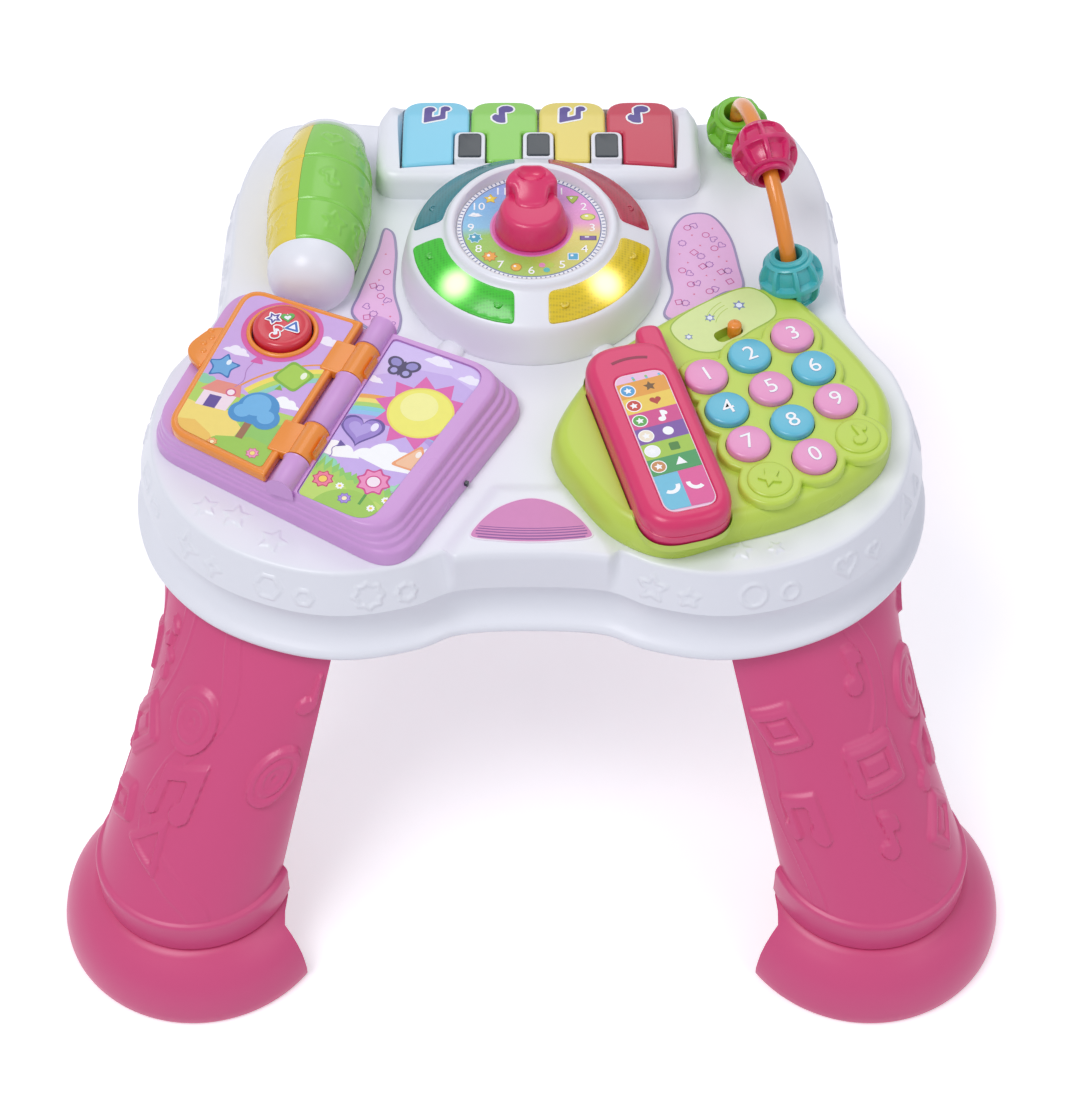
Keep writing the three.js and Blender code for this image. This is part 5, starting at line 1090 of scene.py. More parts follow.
def make_dial():
    """The dial plate with its printed face: a dashed ring, twelve numerals, and small plain pictures."""
    profile = [(0.01, 299.2), (42.6, 299.2), (43, 299.5), (43, 300.1), (42.7, DIAL_Z), (0.01, DIAL_Z)]
    piece("dial_plate", [(*lathe(profile, 128, *DIAL), ink("#f2f2f6"))], "table",
          ["dial_face"])
    parts = [(*stamp(circle(39.6, 128), "#ffffff", DIAL_Z + .03, DIAL)[:2], dial_material()),
             stamp(hoop(circle(40.0, 96), 0.7), "#6a78a4", DIAL_Z + .04, DIAL)]
    for i in range(96):
        parts.append(stamp(box_corners(0.95, 0.42), "#7f88ac", DIAL_Z + .05,
                           DIAL + spoke(41.7, i * 3.75), i / 96 * TAU))
    parts += [stamp(circle(24.0, 64), "#de86c6", DIAL_Z + .06, DIAL),
              stamp(circle(22.8, 64), "#dc5aa4", DIAL_Z + .09, DIAL)]
    for number in range(1, 13):
        parts.append(stamp(glyph(str(number), 8.4, 0.03), "#ffffff", DIAL_Z + .12,
                           DIAL + spoke(NUMERAL_REACH, 90 - 30 * number)))
    pictures = [(1.5, rounded(star(4.4, .62, 3, -math.pi / 2), .8), "#a9c23c", "#6f8a20"),
                (2.5, circle(3.6, 20) * (1.25, .8), "#dfe06a", "#98a838"),
                (3.5, box_corners(4.8, 1.8), "#7a5a9e", "#51397a"),
                (4.5, rounded(box_corners(3.2, 2.9), .8), "#49a8cf", "#eef7fb"),
                (6.5, circle(3.2, 28), "#f0b53c", "#b9791e"), (7.5, star(4.6, .7, 8), "#f0a63a", "#c2761f"),
                (8.5, star(4.6, .72, 7), "#3d9fbb", "#d3eff7"), (9.5, cloud(4.4), "#ffffff", "#e3f1fb"),
                (10.5, rounded(star(4.4, .5, 5), .5), "#f3d733", "#c79a18"),
                (11.5, heart(4.2), "#ef86b4", "#c84c86"),
                (.5, circle(3.4, 6), "#8fd0ea", "#4c96c2")]
    for hour, shape, code, dark in pictures:
        place = DIAL + spoke(PICTURE_REACH, 90 - 30 * hour)
        shine = "#ffffff" if code != "#ffffff" else "#d7eaf7"
        parts += [stamp(shape, dark, DIAL_Z + .12, place),
                  stamp(shape, code, DIAL_Z + .15, place, size=0.84),
                  stamp(shape, shine, DIAL_Z + .18, place + (-.7, .8), size=0.25)]
    for dx, dy, code in ((-2.6, 1.2, "#e48fb8"), (2.4, 1.4, "#b8cf4a"), (0, -2.6, "#4fb9b4")):
        parts.append(stamp(circle(1.9, 18), code, DIAL_Z + .12, DIAL + (8.6 + dx, dy - 32)))
    prints("dial_print", parts, "table")


def make_knob():
    """The pointer knob: a round foot, and an arm with two side lobes whose top rises by 9 mm from the foot
    to the head, is crowned across, and has a finger hollow 5 mm deep."""
    foot = [(0.01, 0), (20.2, 0), (20.9, .4), (21, 1.2), (20.7, 3.5), (19.9, 7), (18.9, 10.5), (18.0, 13),
            (17.2, 14.6), (16.0, 15.6), (14.4, 16.0), (5, 16.4), (0.01, 16.5)]
    foot = lathe(np.add(foot, (0, KNOB_FOOT)), 96, *DIAL)
    right = [(0, 25.4), (6.4, 24.4), (10.8, 21.4), (14, 17.4), (14.8, 14), (13.2, 11.4), (10.6, 10.2),
             (9.5, 7), (9.3, 2.6), (7.4, -.8), (3.8, -2.4)]
    plan = smooth_closed((right + [(0, -2.8)] + [(-x, y) for x, y in right[1:]][::-1])[::-1], 220)

    def top(x, y):
        hollow = 1 - np.clip(np.hypot(x / 8.4, (y - DOME_Y - 17.4) / 5.3), 0, 1) ** 3
        return 327.6 - 9.0 * ramp(DOME_Y + 18 - y, 0, 20) - 5.0 * hollow - 0.016 * x * x

    parts = [foot, *cushion(plan + DIAL, top, 10.5, 3.0, 1.0, 7)]
    piece("knob_shown", clad(parts, MAGENTA), "clock_knob", ["clock_knob"])


# ---------------------------------------------------------------- piano

PIANO_X, PIANO_FOOT, PIANO_SHOULDER, PIANO_TOP, WELL_FLOOR = 4.0, 264.6, 275.6, 283.0, 269.8
KEY_WIDTH, KEY_BACK, KEY_NOTCH = 40.0, 199.0, 169.7
KEY_LEFT = (-77.35, -36.45, 4.45, 45.35)
BLACK_KEYS = (-36.9, 4.0, 44.9)
KEY_COLOURS = [("blue", "#86d6f0"), ("green", "#93d75f"), ("yellow", "#efdc6f"), ("red", "#cf3352")]


def ledge_line(x):
    """Where the ledge ends and the keys begin: an arc that bulges back in the middle."""
    return 147.0 - 4.9 * ((x - PIANO_X) / 82) ** 2


def bar_plan(x, half, low, high, radii, steps, count):
    """The plan of a bar about a line x, from one y to another, with round corners."""
    corners = box_corners(half, (high - low) / 2, x, (high + low) / 2)
    return even(rounded(corners, radii, steps), count)


def make_piano():
    """The white housing with its key well and three white arches, the four keys and the black keys. The
    housing's top falls 5 mm behind the keys, and its rim is rounded less there."""
    plan = even(rounded(box_corners(98, 33.75, PIANO_X, 167.75), [16, 16, 20, 20], 10), 260)
    outward = normals_of(plan)
    rings = stacked(plan, outward, [(.4, PIANO_FOOT), (0, 265.6), (.3, 270.0)])
    soft = (1 - 0.88 * ramp(outward[:, 1], .5, .97))[:, None]

    def top(x, y):
        return PIANO_TOP - 5.0 * ramp(y, 188, 199) * (1 - ramp(np.abs(x - PIANO_X), 82, 92))

    for a in quarter(8):
        spots = plan - outward * soft * (0.9 + 7 * (1 - math.cos(a)))
        rings.append(with_height(spots, PIANO_SHOULDER + (top(*spots.T) - PIANO_SHOULDER) * math.sin(a)))
    across = np.linspace(PIANO_X - 82.6, PIANO_X + 82.6, 60)
    well = np.concatenate([np.column_stack([across, ledge_line(across)]),
                           rounded(box_corners(82.6, 26.9, PIANO_X, 173.0), 3, 4)[10:]])
    extra = grid_points((PIANO_X - 97, 180), (PIANO_X + 97, 201), 2.0)
    extra = extra[inside(*extra.T, rings[-1][:, :2], 0.5) & ~inside(*extra.T, well, -0.5)]
    parts = [*shell(rings, top, [well], extra), wall(well, WELL_FLOOR, top), filled(well, WELL_FLOOR)]
    for number, x in enumerate(BLACK_KEYS):
        arch = bar_plan(x, 9.2, ledge_line(x) - .5, 169.2, [1.4, 1.4, 4.6, 4.6], 7, 90)
        key = bar_plan(x, 6.9, ledge_line(x) + .6, 166.9, [1.6, 1.6, 3, 3], 6, 80)
        parts.append(slab(arch, 269.5, 287.6, 0.9))
        name = "black_key_%d" % (number + 1)
        piece(name + "_shown", clad([slab(key, 286.0, 288.7, 0.9)], DARK), "table", [name])
    piece("piano_shell", clad(parts, WHITE), "table", ["piano_housing"])
    for i, (colour, code) in enumerate(KEY_COLOURS):
        make_key(i, colour, moulded_plastic(colour + "_abs_polished", code, 0.22, sheen=0.2))


def make_key(i, colour, finish):
    """One key: round far corners, a soft edge, notches beside the black keys, and a printed note. Its top
    is crowned across, and falls 3 mm toward the front and 1.8 mm toward the back."""
    x0, x1 = KEY_LEFT[i], KEY_LEFT[i] + KEY_WIDTH
    left = BLACK_KEYS[i - 1] + 9.9 if i > 0 else x0
    right = BLACK_KEYS[i] - 9.9 if i < 3 else x1
    across = np.linspace(left, right, 9)
    corners = list(zip(across, ledge_line(across) + 0.6))
    radii = [3.2] + [0.01] * 7 + [3.2]
    if i < 3:
        corners += [(right, KEY_NOTCH), (x1, KEY_NOTCH)]
        radii += [.8, 3.2]
    corners += [(x1, KEY_BACK), (x0, KEY_BACK)]
    radii += [13, 13]
    if i > 0:
        corners += [(x0, KEY_NOTCH), (left, KEY_NOTCH)]
        radii += [3.2, .8]
    plan = even(rounded(corners, radii, 9), 300)

    def top(x, y):
        front = 3.0 * np.clip((ledge_line(x) + 30 - y) / 30, 0, 1) ** 1.5
        return 287.0 - front - 1.8 * ramp(y, 184, 201) - 0.0011 * (x - (x0 + x1) / 2) ** 2

    parts = clad(cushion(plan, top, 8.0, 1.9, 2.2), finish)
    piece("key_" + colour + "_shown", parts, "key_" + colour, ["piano_key_" + colour])
    outline = even(note_corners(8.4) if i % 2 else pair_corners(8.4), 90)
    grown = even(outline + normals_of(outline) * 1.2, 90)
    place = ((x0 + x1) / 2, 186.0)
    rule = lambda lift: (lambda x, y: top(x, y) + lift)
    prints("key_" + colour + "_print", [stamp(grown, "#ffffff", rule(.08), place, math.pi),
                                        stamp(outline, "#5a4a96", rule(.13), place, math.pi)],
           "key_" + colour)


# ---------------------------------------------------------------- drum


ROLL_RADIUS = 27.0


def make_drum():
    """The barrel in a yellow and a green half: two grooves, end rims, and outlines of stars, hearts and
    notes raised half a millimetre, laid out on a barrel unrolled at its mean radius."""
    y = np.linspace(DRUM_FRONT, DRUM_BACK, 120)
    radius = drum_radius(y)
    groove = sum(ramp(-np.abs(y - at), -1.5, -0.4) for at in (-24.0, 12.0))
    radius = radius - 0.9 * groove - 1.2 * ramp(np.maximum(-50.6 - y, y - 46.6), 0, 1.4)
    marks = [(.35, -37, "star"), (.95, -38, "heart"), (1.6, -36, "note"), (2.3, -38, "star"),
             (.3, -6, "note"), (1.0, -5, "star"), (1.7, -7, "heart"), (2.5, -6, "note"), (.5, 28, "heart"),
             (1.2, 29, "note"), (1.9, 28, "star"), (2.6, 29, "heart")]
    kinds = {"star": star(7.5), "heart": heart(6.8, 26), "note": note_corners(7.0)}
    for name, middle, code in (("yellow", math.radians(198), "#ecd64e"),
                               ("green", math.radians(18), "#8ad250")):
        angle = middle - math.pi / 2 + 0.004 + np.linspace(0, math.pi - 0.008, 110)
        away = (angle - angle[0])[None, :] * ROLL_RADIUS
        relief = np.zeros((len(y), len(angle)))
        for at, along, kind in marks:
            u, v = np.broadcast_arrays(away - at * ROLL_RADIUS, (y - along)[:, None])
            near = np.hypot(u, v) < 11
            d = polygon_distance(u[near], v[near], kinds[kind])
            relief[near] = np.maximum(relief[near], 0.5 * ramp(-np.abs(d), -1.3, -0.3))
        reach = radius[:, None] + relief
        half = loft(np.stack([reach * np.cos(angle), np.repeat(y[:, None], len(angle), 1),
                              DRUM_AXIS + reach * np.sin(angle)], -1))
        finish = moulded_plastic(name + "_abs_polished_drum", code, 0.25, sheen=0.2)
        piece("drum_" + name + "_half", [(*turned_about(half, DRUM_YAW, DRUM_PLACE), finish)], "roller",
              ["roller_" + name])


# ---------------------------------------------------------------- beads

BAR_CENTRE, BAR_ARC, BAR_YAW, BAR_LEAN = np.array([138.2, 112.8, 272.0]), 66.0, -1.379, -0.129
BEAD_ANGLES = (0.19, 1.8, 2.952)


def bar_frame():
    """The directions along the bar's feet and up its arc."""
    along = np.array([math.cos(BAR_YAW), math.sin(BAR_YAW), 0.0])
    side = np.array([-along[1], along[0], 0.0])
    return along, np.array([0, 0, math.cos(BAR_LEAN)]) + side * math.sin(BAR_LEAN)


def bar_point(angle):
    """A point of the bar's arc at an angle from its back foot."""
    along, up = bar_frame()
    return BAR_CENTRE - along * BAR_ARC * math.cos(angle) + up * BAR_ARC * math.sin(angle)


def make_bar():
    """The orange half-round bar, with a collar at each foot."""
    arc = [bar_point(a) for a in np.linspace(0, math.pi, 90)]
    back, front = arc[0], arc[-1]
    path = [(*back[:2], 253.5), (*back[:2], CEILING), *arc, (*front[:2], CEILING), (*front[:2], 253.5)]
    collar = [(5.2, 264.4), (9.4, 264.6), (9.2, 266.0), (8.2, 267.2), (6.4, 268.0), (5.0, 268.1)]
    parts = [(*tube(even(path, 150, closed=False), 4.6, 28), ORANGE),
             *clad([lathe(collar, 48, *foot[:2]) for foot in (back, front)], WHITE)]
    piece("bead_bar_shown", parts, "table", ["bead_bar"])


def make_beads():
    """Ribbed balls: eight ribs and a belt stand out by a fifth of the radius from a core that falls off
    by a soft power curve, with a collar at each end."""
    kinds = [("green", "#76c32c"), ("pink", "#d51f68"), ("teal", "#45b6bc")]
    along, up = bar_frame()
    angle = np.arange(192) / 192 * TAU
    rib = ramp(np.cos(8 * angle), 0.45, 0.93)
    z = np.sin(np.linspace(-math.pi / 2, math.pi / 2, 66)) * 13.6
    ball = 18.6 * np.power(np.maximum(1 - (np.abs(z) / 17.6) ** 2.3, 0), 1 / 2.3)
    belt = ramp(-np.abs(z), -2.7, -1.5)
    poles = ramp(np.abs(z), 11.2, 13.0)
    proud = np.maximum(np.maximum(rib[None, :], belt[:, None]), poles[:, None])
    reach = ball[:, None] * (0.80 + 0.2 * proud)
    ends = [(11.2, 13.9), (11.3, 15.2), (10.6, 16.2), (9.4, 16.5), (7.9, 16.3), (7.6, 15.5)]
    ends = np.array(ends)
    radius = np.vstack([np.repeat(ends[::-1, :1], 192, 1), reach, np.repeat(ends[:, :1], 192, 1)])
    height = np.concatenate([-ends[::-1, 1], z, ends[:, 1]])
    for (name, code), where in zip(kinds, BEAD_ANGLES):
        axis = unit(along * math.sin(where) + up * math.cos(where))
        first = unit(np.cross(axis, np.cross(along, up)))
        second = np.cross(axis, first)
        spots = (bar_point(where) + (radius * np.cos(angle))[..., None] * first
                 + (radius * np.sin(angle))[..., None] * second + height[:, None, None] * axis)
        finish = moulded_plastic(name + "_abs_bead", code, 0.25, sheen=0.2)
        body = "bead_" + name
        piece(body + "_shown", clad([skin_through(spots, loop=True)], finish), body, [body])


# ---------------------------------------------------------------- book

BOOK_PLACE, BOOK_YAW = (-109.0, -55.0), -0.4014
BOOK_BASE, BOOK_LOW, BOOK_STEP, PICTURE_FLOOR, BUTTON_FLOOR = 265.2, 283.9, 4.0, 286.3, 279.6
HINGE_Z, PAGE_BASE, PAGE_FACE = 288.0, 284.5, 290.3
# The book's plan at its foot and at its rim, in its own frame with v along the spine, and the way from one
# to the other as (share of the height, share of the way).
BOOK_FOOT = np.array([(-91, -52), (74, -79), (92, 64), (-96, 70)], float)
BOOK_RIM = np.array([(-87, -49), (63, -73), (77, 61), (-92, 67)], float)
BUTTON = (-49.4, 38.2)
STEPS = [(0, 0), (.02, -.005), (.30, .05), (.35, .08), (.385, .15), (.41, .25), (.425, .31), (.45, .34),
         (.52, .36), (.555, .39), (.575, .46), (.59, .53), (.615, .57), (.68, .585), (.72, .61),
         (.745, .67), (.76, .75), (.785, .79), (.86, .81), (.91, .84), (.95, .89), (.98, .955), (1, 1.05)]


def in_book(shape):
    """Points, or a shape of points and faces, moved from the book's own frame to the table's."""
    return turned_about(shape, BOOK_YAW, BOOK_PLACE)


def along_v(profile, start, end, edge=0.9):
    """A bar along the book's spine: a closed (u, z) profile between two places. Over the given edge in
    from each end, it shrinks about its middle by an eighth of the way in."""
    profile = np.asarray(profile, float)
    centre = profile.mean(0)
    ways = edge * (1 - np.cos(quarter(4)))
    rings = []
    for place, way in [(start + w, w) for w in ways] + [(end - w, w) for w in ways[::-1]]:
        u, z = (centre + (profile - centre) * (1 - way / 8)).T
        rings.append(np.column_stack([u, np.full(len(u), place), z]))
    return loft(rings)


def spine_profile(half, foot, top):
    """An arch: upright sides and a round head."""
    angle = np.linspace(0, math.pi, 25)
    arch = np.column_stack([half * np.cos(angle), top - half + half * np.sin(angle)])
    return np.concatenate([[(half, foot)], arch, [(-half, foot)]])


def make_book():
    """The lilac body with stepped page edges, the spine's three lengths and the picture's recess. Its top
    steps up by BOOK_STEP from the page's half to the picture's."""
    rings = []
    for height, share in STEPS:
        plan = even(rounded(BOOK_FOOT + (BOOK_RIM - BOOK_FOOT) * share, 22, 10), 420)
        rise = BOOK_LOW - BOOK_BASE + BOOK_STEP * ramp(plan[:, 0], -5, 3)
        rings.append(with_height(plan, BOOK_BASE + height * rise))
    edge = rings[-1][:, :2]
    picture = even(rounded([(8.8, -64.5), (54, -69), (68.5, 57.5), (8.8, 60.5)], [3, 13, 13, 3], 8), 240)

    def top(x, y):
        return BOOK_LOW + BOOK_STEP * ramp(x, -5, 3)

    extra = np.concatenate([grid_points(edge.min(0), edge.max(0), 9.0),
                            grid_points((-7, -70), (5, 66), 2.0)])
    hole = circle(17.2, 72, *BUTTON)
    for outline in (picture, hole):
        extra = extra[~inside(*extra.T, outline, -1.5)]
    extra = extra[inside(*extra.T, edge, 2.5)]
    parts = [*shell(rings, top, [picture, hole], extra), *pit(picture, top, PICTURE_FLOOR),
             *pit(hole, top, BUTTON_FLOOR)]
    spine = spine_profile(8.1, 283.0, 295.8)
    parts += [along_v(spine, *ends) for ends in ((-66.5, -45.2), (-20, 20), (45.2, 66))]
    piece("book_body", clad(map(in_book, parts), LILAC), "table", ["book_base"])
    plate = even(rounded([(9.2, -64.1), (53.9, -68.5), (68.1, 57.1), (9.2, 60.1)], [3, 13, 13, 3], 8), 200)
    piece("picture_plate", [(*in_book(slab(plate, 286.2, 286.9, 0.15)), ink("#c9aeea"))], "table",
          ["book_picture"])
    prints("picture_print", picture_art(286.95), "table")
    # The slot in the book's side is not cut: a dark slab across the wall stands for it, as painted shade in the
    # opening.
    slot = even(rounded(box_corners(4.0, 1.2, 80.6, -8), .4, 3), 40)
    piece("book_slot_painted_shade", [(*in_book(slab(slot, 268.2, 270.6, .3)), DARK)], "table")
    make_page()


def grass_line(left, right, low, swing, blades):
    """A ragged edge of grass from right to left: every second point is a blade's tip, whose height and
    lean follow sines of its number, over ground that follows a slow sine."""
    number = np.arange(2 * blades + 1)
    t = number / number[-1]
    tall = np.where(number % 2 == 1, swing * (1 + 0.5 * np.sin(number * 2.7)), 0)
    x = left + (right - left) * t + np.where(tall > 0, 0.8 * np.sin(number * 1.9), 0)
    return np.column_stack([x, low + 2.2 * np.sin(t * 5.5 + .6) + tall])[::-1]


def picture_art(z):
    """A plain landscape in the picture: sky, clouds, rainbow, sun, balloons, grass and flowers."""
    page = rounded([(9.6, -63.6), (53.6, -68), (67.6, 56.6), (9.6, 59.6)], [3, 13, 13, 3], 8)
    drawn, add = artist(page, z, in_book)
    add(page, "#c9aeea")
    add([(9, 60), (9, 30), (30, 44), (50, 47), (70, 40), (70, 60)], "#d6c1f2")
    for place, size in (((40, 51), 9), ((62, 45), 8), ((12, 26), 6)):
        add(cloud(size), "#f4effc", place)
    for k, code in enumerate(("#eba54b", "#f3e170", "#a9d66a", "#7fd0d8", "#8fc2ea", "#b69add")):
        add(ribbon(arc_path(76 - 3.1 * k, 40, 122, 60, 34, -58), 3.2), code)
    add(cloud(14), "#ffffff", (16, -32), 0.1)
    add(cloud(22), "#ffffff", (45, -30))
    add(cloud(9), "#f3ecfb", (64, -14))
    add(star(27.5, .70, 10, 1.25), "#e05fae", (46.0, 15.0))
    add(circle(18.6, 60), "#efe05a", (46.0, 15.0))
    add(circle(17.4, 60), "#f4ee6a", (46.0, 15.0))
    add(circle(10.5, 40), "#f9f59a", (43.5, 18.8))
    for side in (-1, 1):
        add(circle(5.2, 24), "#3b2e5e", (22.5 + side * 4.8, 44.6), side * .5, .82)
        add(circle(3.4, 20), "#8f86c8", (22.5 + side * 4.8, 44.8), side * .5, .82)
        add(circle(3.6, 20), "#3b2e5e", (22.5 + side * 3.6, 38.8))
        add(circle(2.0, 16), "#a79fdb", (22.5 + side * 3.6, 38.8))
    add(circle(1.38, 18), "#3b2e5e", (22.5, 41.5), 0, 4.2)
    add(heart(13.2), "#5f4699", (21.5, -10), .15)
    add(heart(11.4), "#9b80cf", (21.5, -10), .15)
    add(heart(7.0), "#b39de0", (20.5, -9.4), .15)
    add(circle(2.0, 16), "#f3ecff", (27.4, -4.4), 0, 1.6)
    add(star(3, .5, 3), "#5f4699", (15.6, -22.5), .5)
    add(ribbon(soft_line([(15, -23), (12, -27), (14.5, -31), (12.6, -35)], 2), .5), "#8b77b9")
    add(rounded(star(13.0, .5, 3), 3.2), "#f2a06c", (57.0, -19.0))
    add(rounded(star(10.6, .5, 3), 2.8), "#f8c49c", (57.0, -19.0))
    add(circle(1.6, 14), "#fff3ea", (57.8, -13.4), 0, 1.5)
    add(cloud(11), "#8fd8b8", (13, -41))
    add(cloud(11), "#9fdcb4", (62, -44))
    for low, swing, blades, code in ((-42, 4.6, 15, "#8ccb62"), (-46, 4.0, 13, "#a9d35c"),
                                     (-52, 2.0, 9, "#bfdc68")):
        add(np.concatenate([grass_line(6, 68, low, swing, blades), [(6, -70), (68, -70)]]), code)
    add(arc_path(20, 0, 360, 40, 38, -70), "#9fcb52")
    flower(add, (17.5, -49.0), 6.6, "#c33a62", "#f07a98", "#f6d35a")
    flower(add, (43.5, -40.5), 10.5, "#d23f8b", "#f08fc0", "#fbe9f3")
    flower(add, (34, -57), 4.2, "#7a5ab0", "#a98be0", "#fdf0c0")
    add(ribbon([(43.5, -50), (43.0, -58)], 1.6), "#4f9b3e")
    for place in ((50, -58), (28, -50), (55, -50)):
        flower(add, place, 2.6, "#ffffff", "#ffffff", "#f4cf4a")
    return drawn


def flower(add, place, size, dark, petal, middle):
    """A flower with eight round petals and a round middle."""
    add(rounded(star(size, .70, 8), size * .16), dark, place)
    add(rounded(star(size * .86, .68, 8), size * .14), petal, place)
    add(circle(size * .42, 24), dark, place)
    add(circle(size * .34, 24), middle, place)


def page_art(z):
    """The turning page's picture: sky, rainbow, balloons, a small house, a tree and a path."""
    page = rounded([(-15, -57.5), (-15, 59.5), (-80, 59), (-73.5, -48)][::-1], [10, 10, 3, 3], 8)
    drawn, add = artist(page, z, in_book)
    sky = cut_plane([page, circle(20.0, 60, *BUTTON)], {0})
    drawn.append(stamp(in_book(sky), "#cfaae4", z))
    add(cloud(8.5), "#f5eefb", (-22, 38))
    add(cloud(8.5), "#f5eefb", (-66, 12))
    add(cloud(10), "#ffffff", (-24, -14))
    for k, code in enumerate(("#e8963c", "#f5df5c", "#b7d95c", "#8fd0c0")):
        add(ribbon(arc_path(67 - 3.4 * k if k else 68.6, 111, 152, 40, 8, -40), 3.5 if k else 1.2), code)
    add([(-82, -14), (-72, -12), (-60, -15), (-48, -13), (-32, -18), (-12, -17), (-12, -60), (-82, -60)],
        "#b4d660")
    add(cloud(9), "#8fd0a8", (-72, -14), 0.1)
    add(np.concatenate([grass_line(-40, -12, -24, 2.6, 7), [(-40, -60), (-12, -60)]]), "#8fc860")
    add([(-80, -27), (-64, -29), (-50, -27), (-38, -36), (-40, -60), (-80, -60)], "#f6dd74")
    add([(-60, -60), (-48, -46), (-30, -40), (-12, -43), (-12, -60)], "#9cc94e")
    add([(-80, -44), (-64, -40), (-52, -46), (-40, -60), (-80, -60)], "#f2c45c")
    add([(-69.5, -29.5), (-51.5, -28), (-50.5, -15.5), (-69.5, -17)], "#f6dfe9")
    add([(-72, -18.4), (-48.4, -16.2), (-52, -7.6), (-66.5, -8.8)], "#e88d80")
    add([(-65, -29.2), (-58, -28.6), (-58, -19.4), (-65, -20)], "#5d4396")
    add(circle(3.0, 20), "#d75a86", (-55, -14.5))
    add(circle(2.1, 20), "#fbe9f0", (-55, -14.5))
    add(ribbon(soft_line([(-53, 14), (-55, 4), (-52, -4), (-55, -10)], 3), .5), "#b07cc0")
    add(hoop(circle(21.6, 72), 3.2), "#d957a8", (BUTTON[0], BUTTON[1] - .3))
    add(rounded(star(4.6, .5, 3, math.pi / 2), 1.2), "#d957a8", (-52.2, 13.0), .1)
    add(rounded(star(10.4, .54, 5, 1.7), 1.8), "#2f6fb4", (-68.0, 1.5))
    add(rounded(star(8.6, .54, 5, 1.7), 1.6), "#6aa9dc", (-68.0, 1.5))
    add(circle(1.4, 14), "#eaf5fd", (-66.2, 5.4), 0, 1.5)
    add(rounded(box_corners(8.8, 8.8), 3.4, 4), "#7fb52e", (-28.5, 9.5), -.35)
    add(rounded(box_corners(7.2, 7.2), 3, 4), "#a6d047", (-28.5, 9.5), -.35)
    add(circle(1.7, 16), "#f4fbdf", (-23.4, 12.0), 0, 1.6)
    add(star(2.6, .5, 3), "#7fb52e", (-32, -1.5), .2)
    add(ribbon([(-36, -43), (-36, -26)], 4.2), "#9a6a4b")
    for code, leaves in (("#3f8fca", [(-36, -19.5, 12.0), (-43, -25, 7.6), (-28.5, -25, 7.8)]),
                         ("#6db4e4", [(-37.5, -17.5, 8.0), (-43, -24, 4.8), (-29, -24, 4.8)])):
        for x, y, radius in leaves:
            add(circle(radius, 32), code, (x, y))
    flower(add, (-24, -50), 4.2, "#cf4f86", "#f19ac0", "#f6e27c")
    flower(add, (-48, -51), 3.4, "#e07a3a", "#f6b57a", "#fdf0c0")
    return drawn


def make_page():
    """The orange page: a rounded frame with a round window, a dimpled tab, two hinge arms and their
    knuckles, its printed picture, and the red button that looks out through it."""
    plan = anticlockwise(even(rounded([(-77, -52), (-84, 63), (-10.8, 63), (-10.8, -62)],
                                      [14, 14, 1.5, 1.5], 9), 320))
    hole = circle(17.4, 72, *BUTTON)
    outward = normals_of(plan)
    rings = stacked(plan, outward, [(.7, PAGE_BASE), (0, 285.3), (0, 288.6)])
    rings += round_over(plan, outward, 0, 1.9, 288.9, 1.9, quarter(6)[1:])
    rings += stacked(plan, outward, [(2.7, 290.75), (3.3, 290.5), (3.7, PAGE_FACE)])
    ring = [(17.45, 289.5), (17.5, 291.2), (17.9, 291.8), (18.6, 292.1), (19.5, 292.0), (20.1, 291.5),
            (20.4, 290.6), (20.4, 289.5)]
    tab = anticlockwise(even(rounded([(-88, 29), (-76, 30), (-80, -4), (-96, 6)], [8, 4, 3, 10], 9), 120))
    parts = [*shell(rings, PAGE_FACE, through=[hole]), wall(hole, PAGE_BASE, PAGE_FACE),
             lathe(ring, 96, *BUTTON, loop=True), slab(tab, 285.2, 289.8, 1.4, low_edge=.6)]
    bump = [(1.9, 289.4), (1.9, 289.9), (1.5, 290.3), (.8, 290.45), (0.01, 290.5)]
    parts += [lathe(bump, 20, *spot) for spot in ((-86.5, 14), (-84.2, 19.5), (-87.2, 24), (-84, 8.5))]
    grip = [(7.4, 294.2), (7.4, 292.0), (8.6, 290.6), (8.9, 288.0), (8.3, 286.6), (6.2, 287.0)]
    for middle in (-32.5, 32.5):
        arm = even(rounded(box_corners(6.8, 11.6, -11.6, middle), 1.2, 3), 60)
        parts += [along_v(circle(7.75, 36) + (0, HINGE_Z), middle - 11.9, middle + 11.9, .7),
                  slab(arm, 286.0, 291.6, 1.2),
                  along_v(grip, middle - 7, middle + 7, .4)]
    piece("page_frame", clad(map(in_book, parts), ORANGE), "book_page", ["book_page"])
    prints("page_print", page_art(290.42), "book_page")
    red = moulded_plastic("red_abs_polished", "#d9283f", 0.2, sheen=0.3)
    profile = [(0.01, 284), (16.3, 284), (16.5, 284.4), (16.5, 293.6), (16.2, 294.9), (15.3, 295.7),
               (13.8, 296.1), (12.6, 296.0), (11.9, 295.85), (8, 296.2), (0.01, 296.4)]
    piece("page_button_shown", [(*in_book(lathe(profile, 96, *BUTTON)), red)], "book_button",
          ["book_button"])
    signs = [(star(4.6, .5, 5, 1.9), "#56489c", (-6.2, 2.6)), (heart(4.2), "#58b04c", (1.0, 5.6)),
             (rounded(star(5.2, .5, 3, 1.1), 1.2), "#3b6fc0", (6.8, .2)),
             (note_corners(4.8), "#d9283f", (-.6, -6.6))]
    parts = []
    for shape, code, place in signs:
        grown = smooth_closed(even(shape, 40), 80)
        grown = grown + normals_of(grown) * .8
        for form, colour, z in ((grown, "#ffffff", 296.5), (shape, code, 296.54),
                                (shape * .5, "#f7f7ff", 296.58)):
            parts.append(stamp(in_book(turned_about(form, .5, np.add(BUTTON, place))), colour, z))
    prints("page_button_print", parts, "book_button")


# ---------------------------------------------------------------- phone

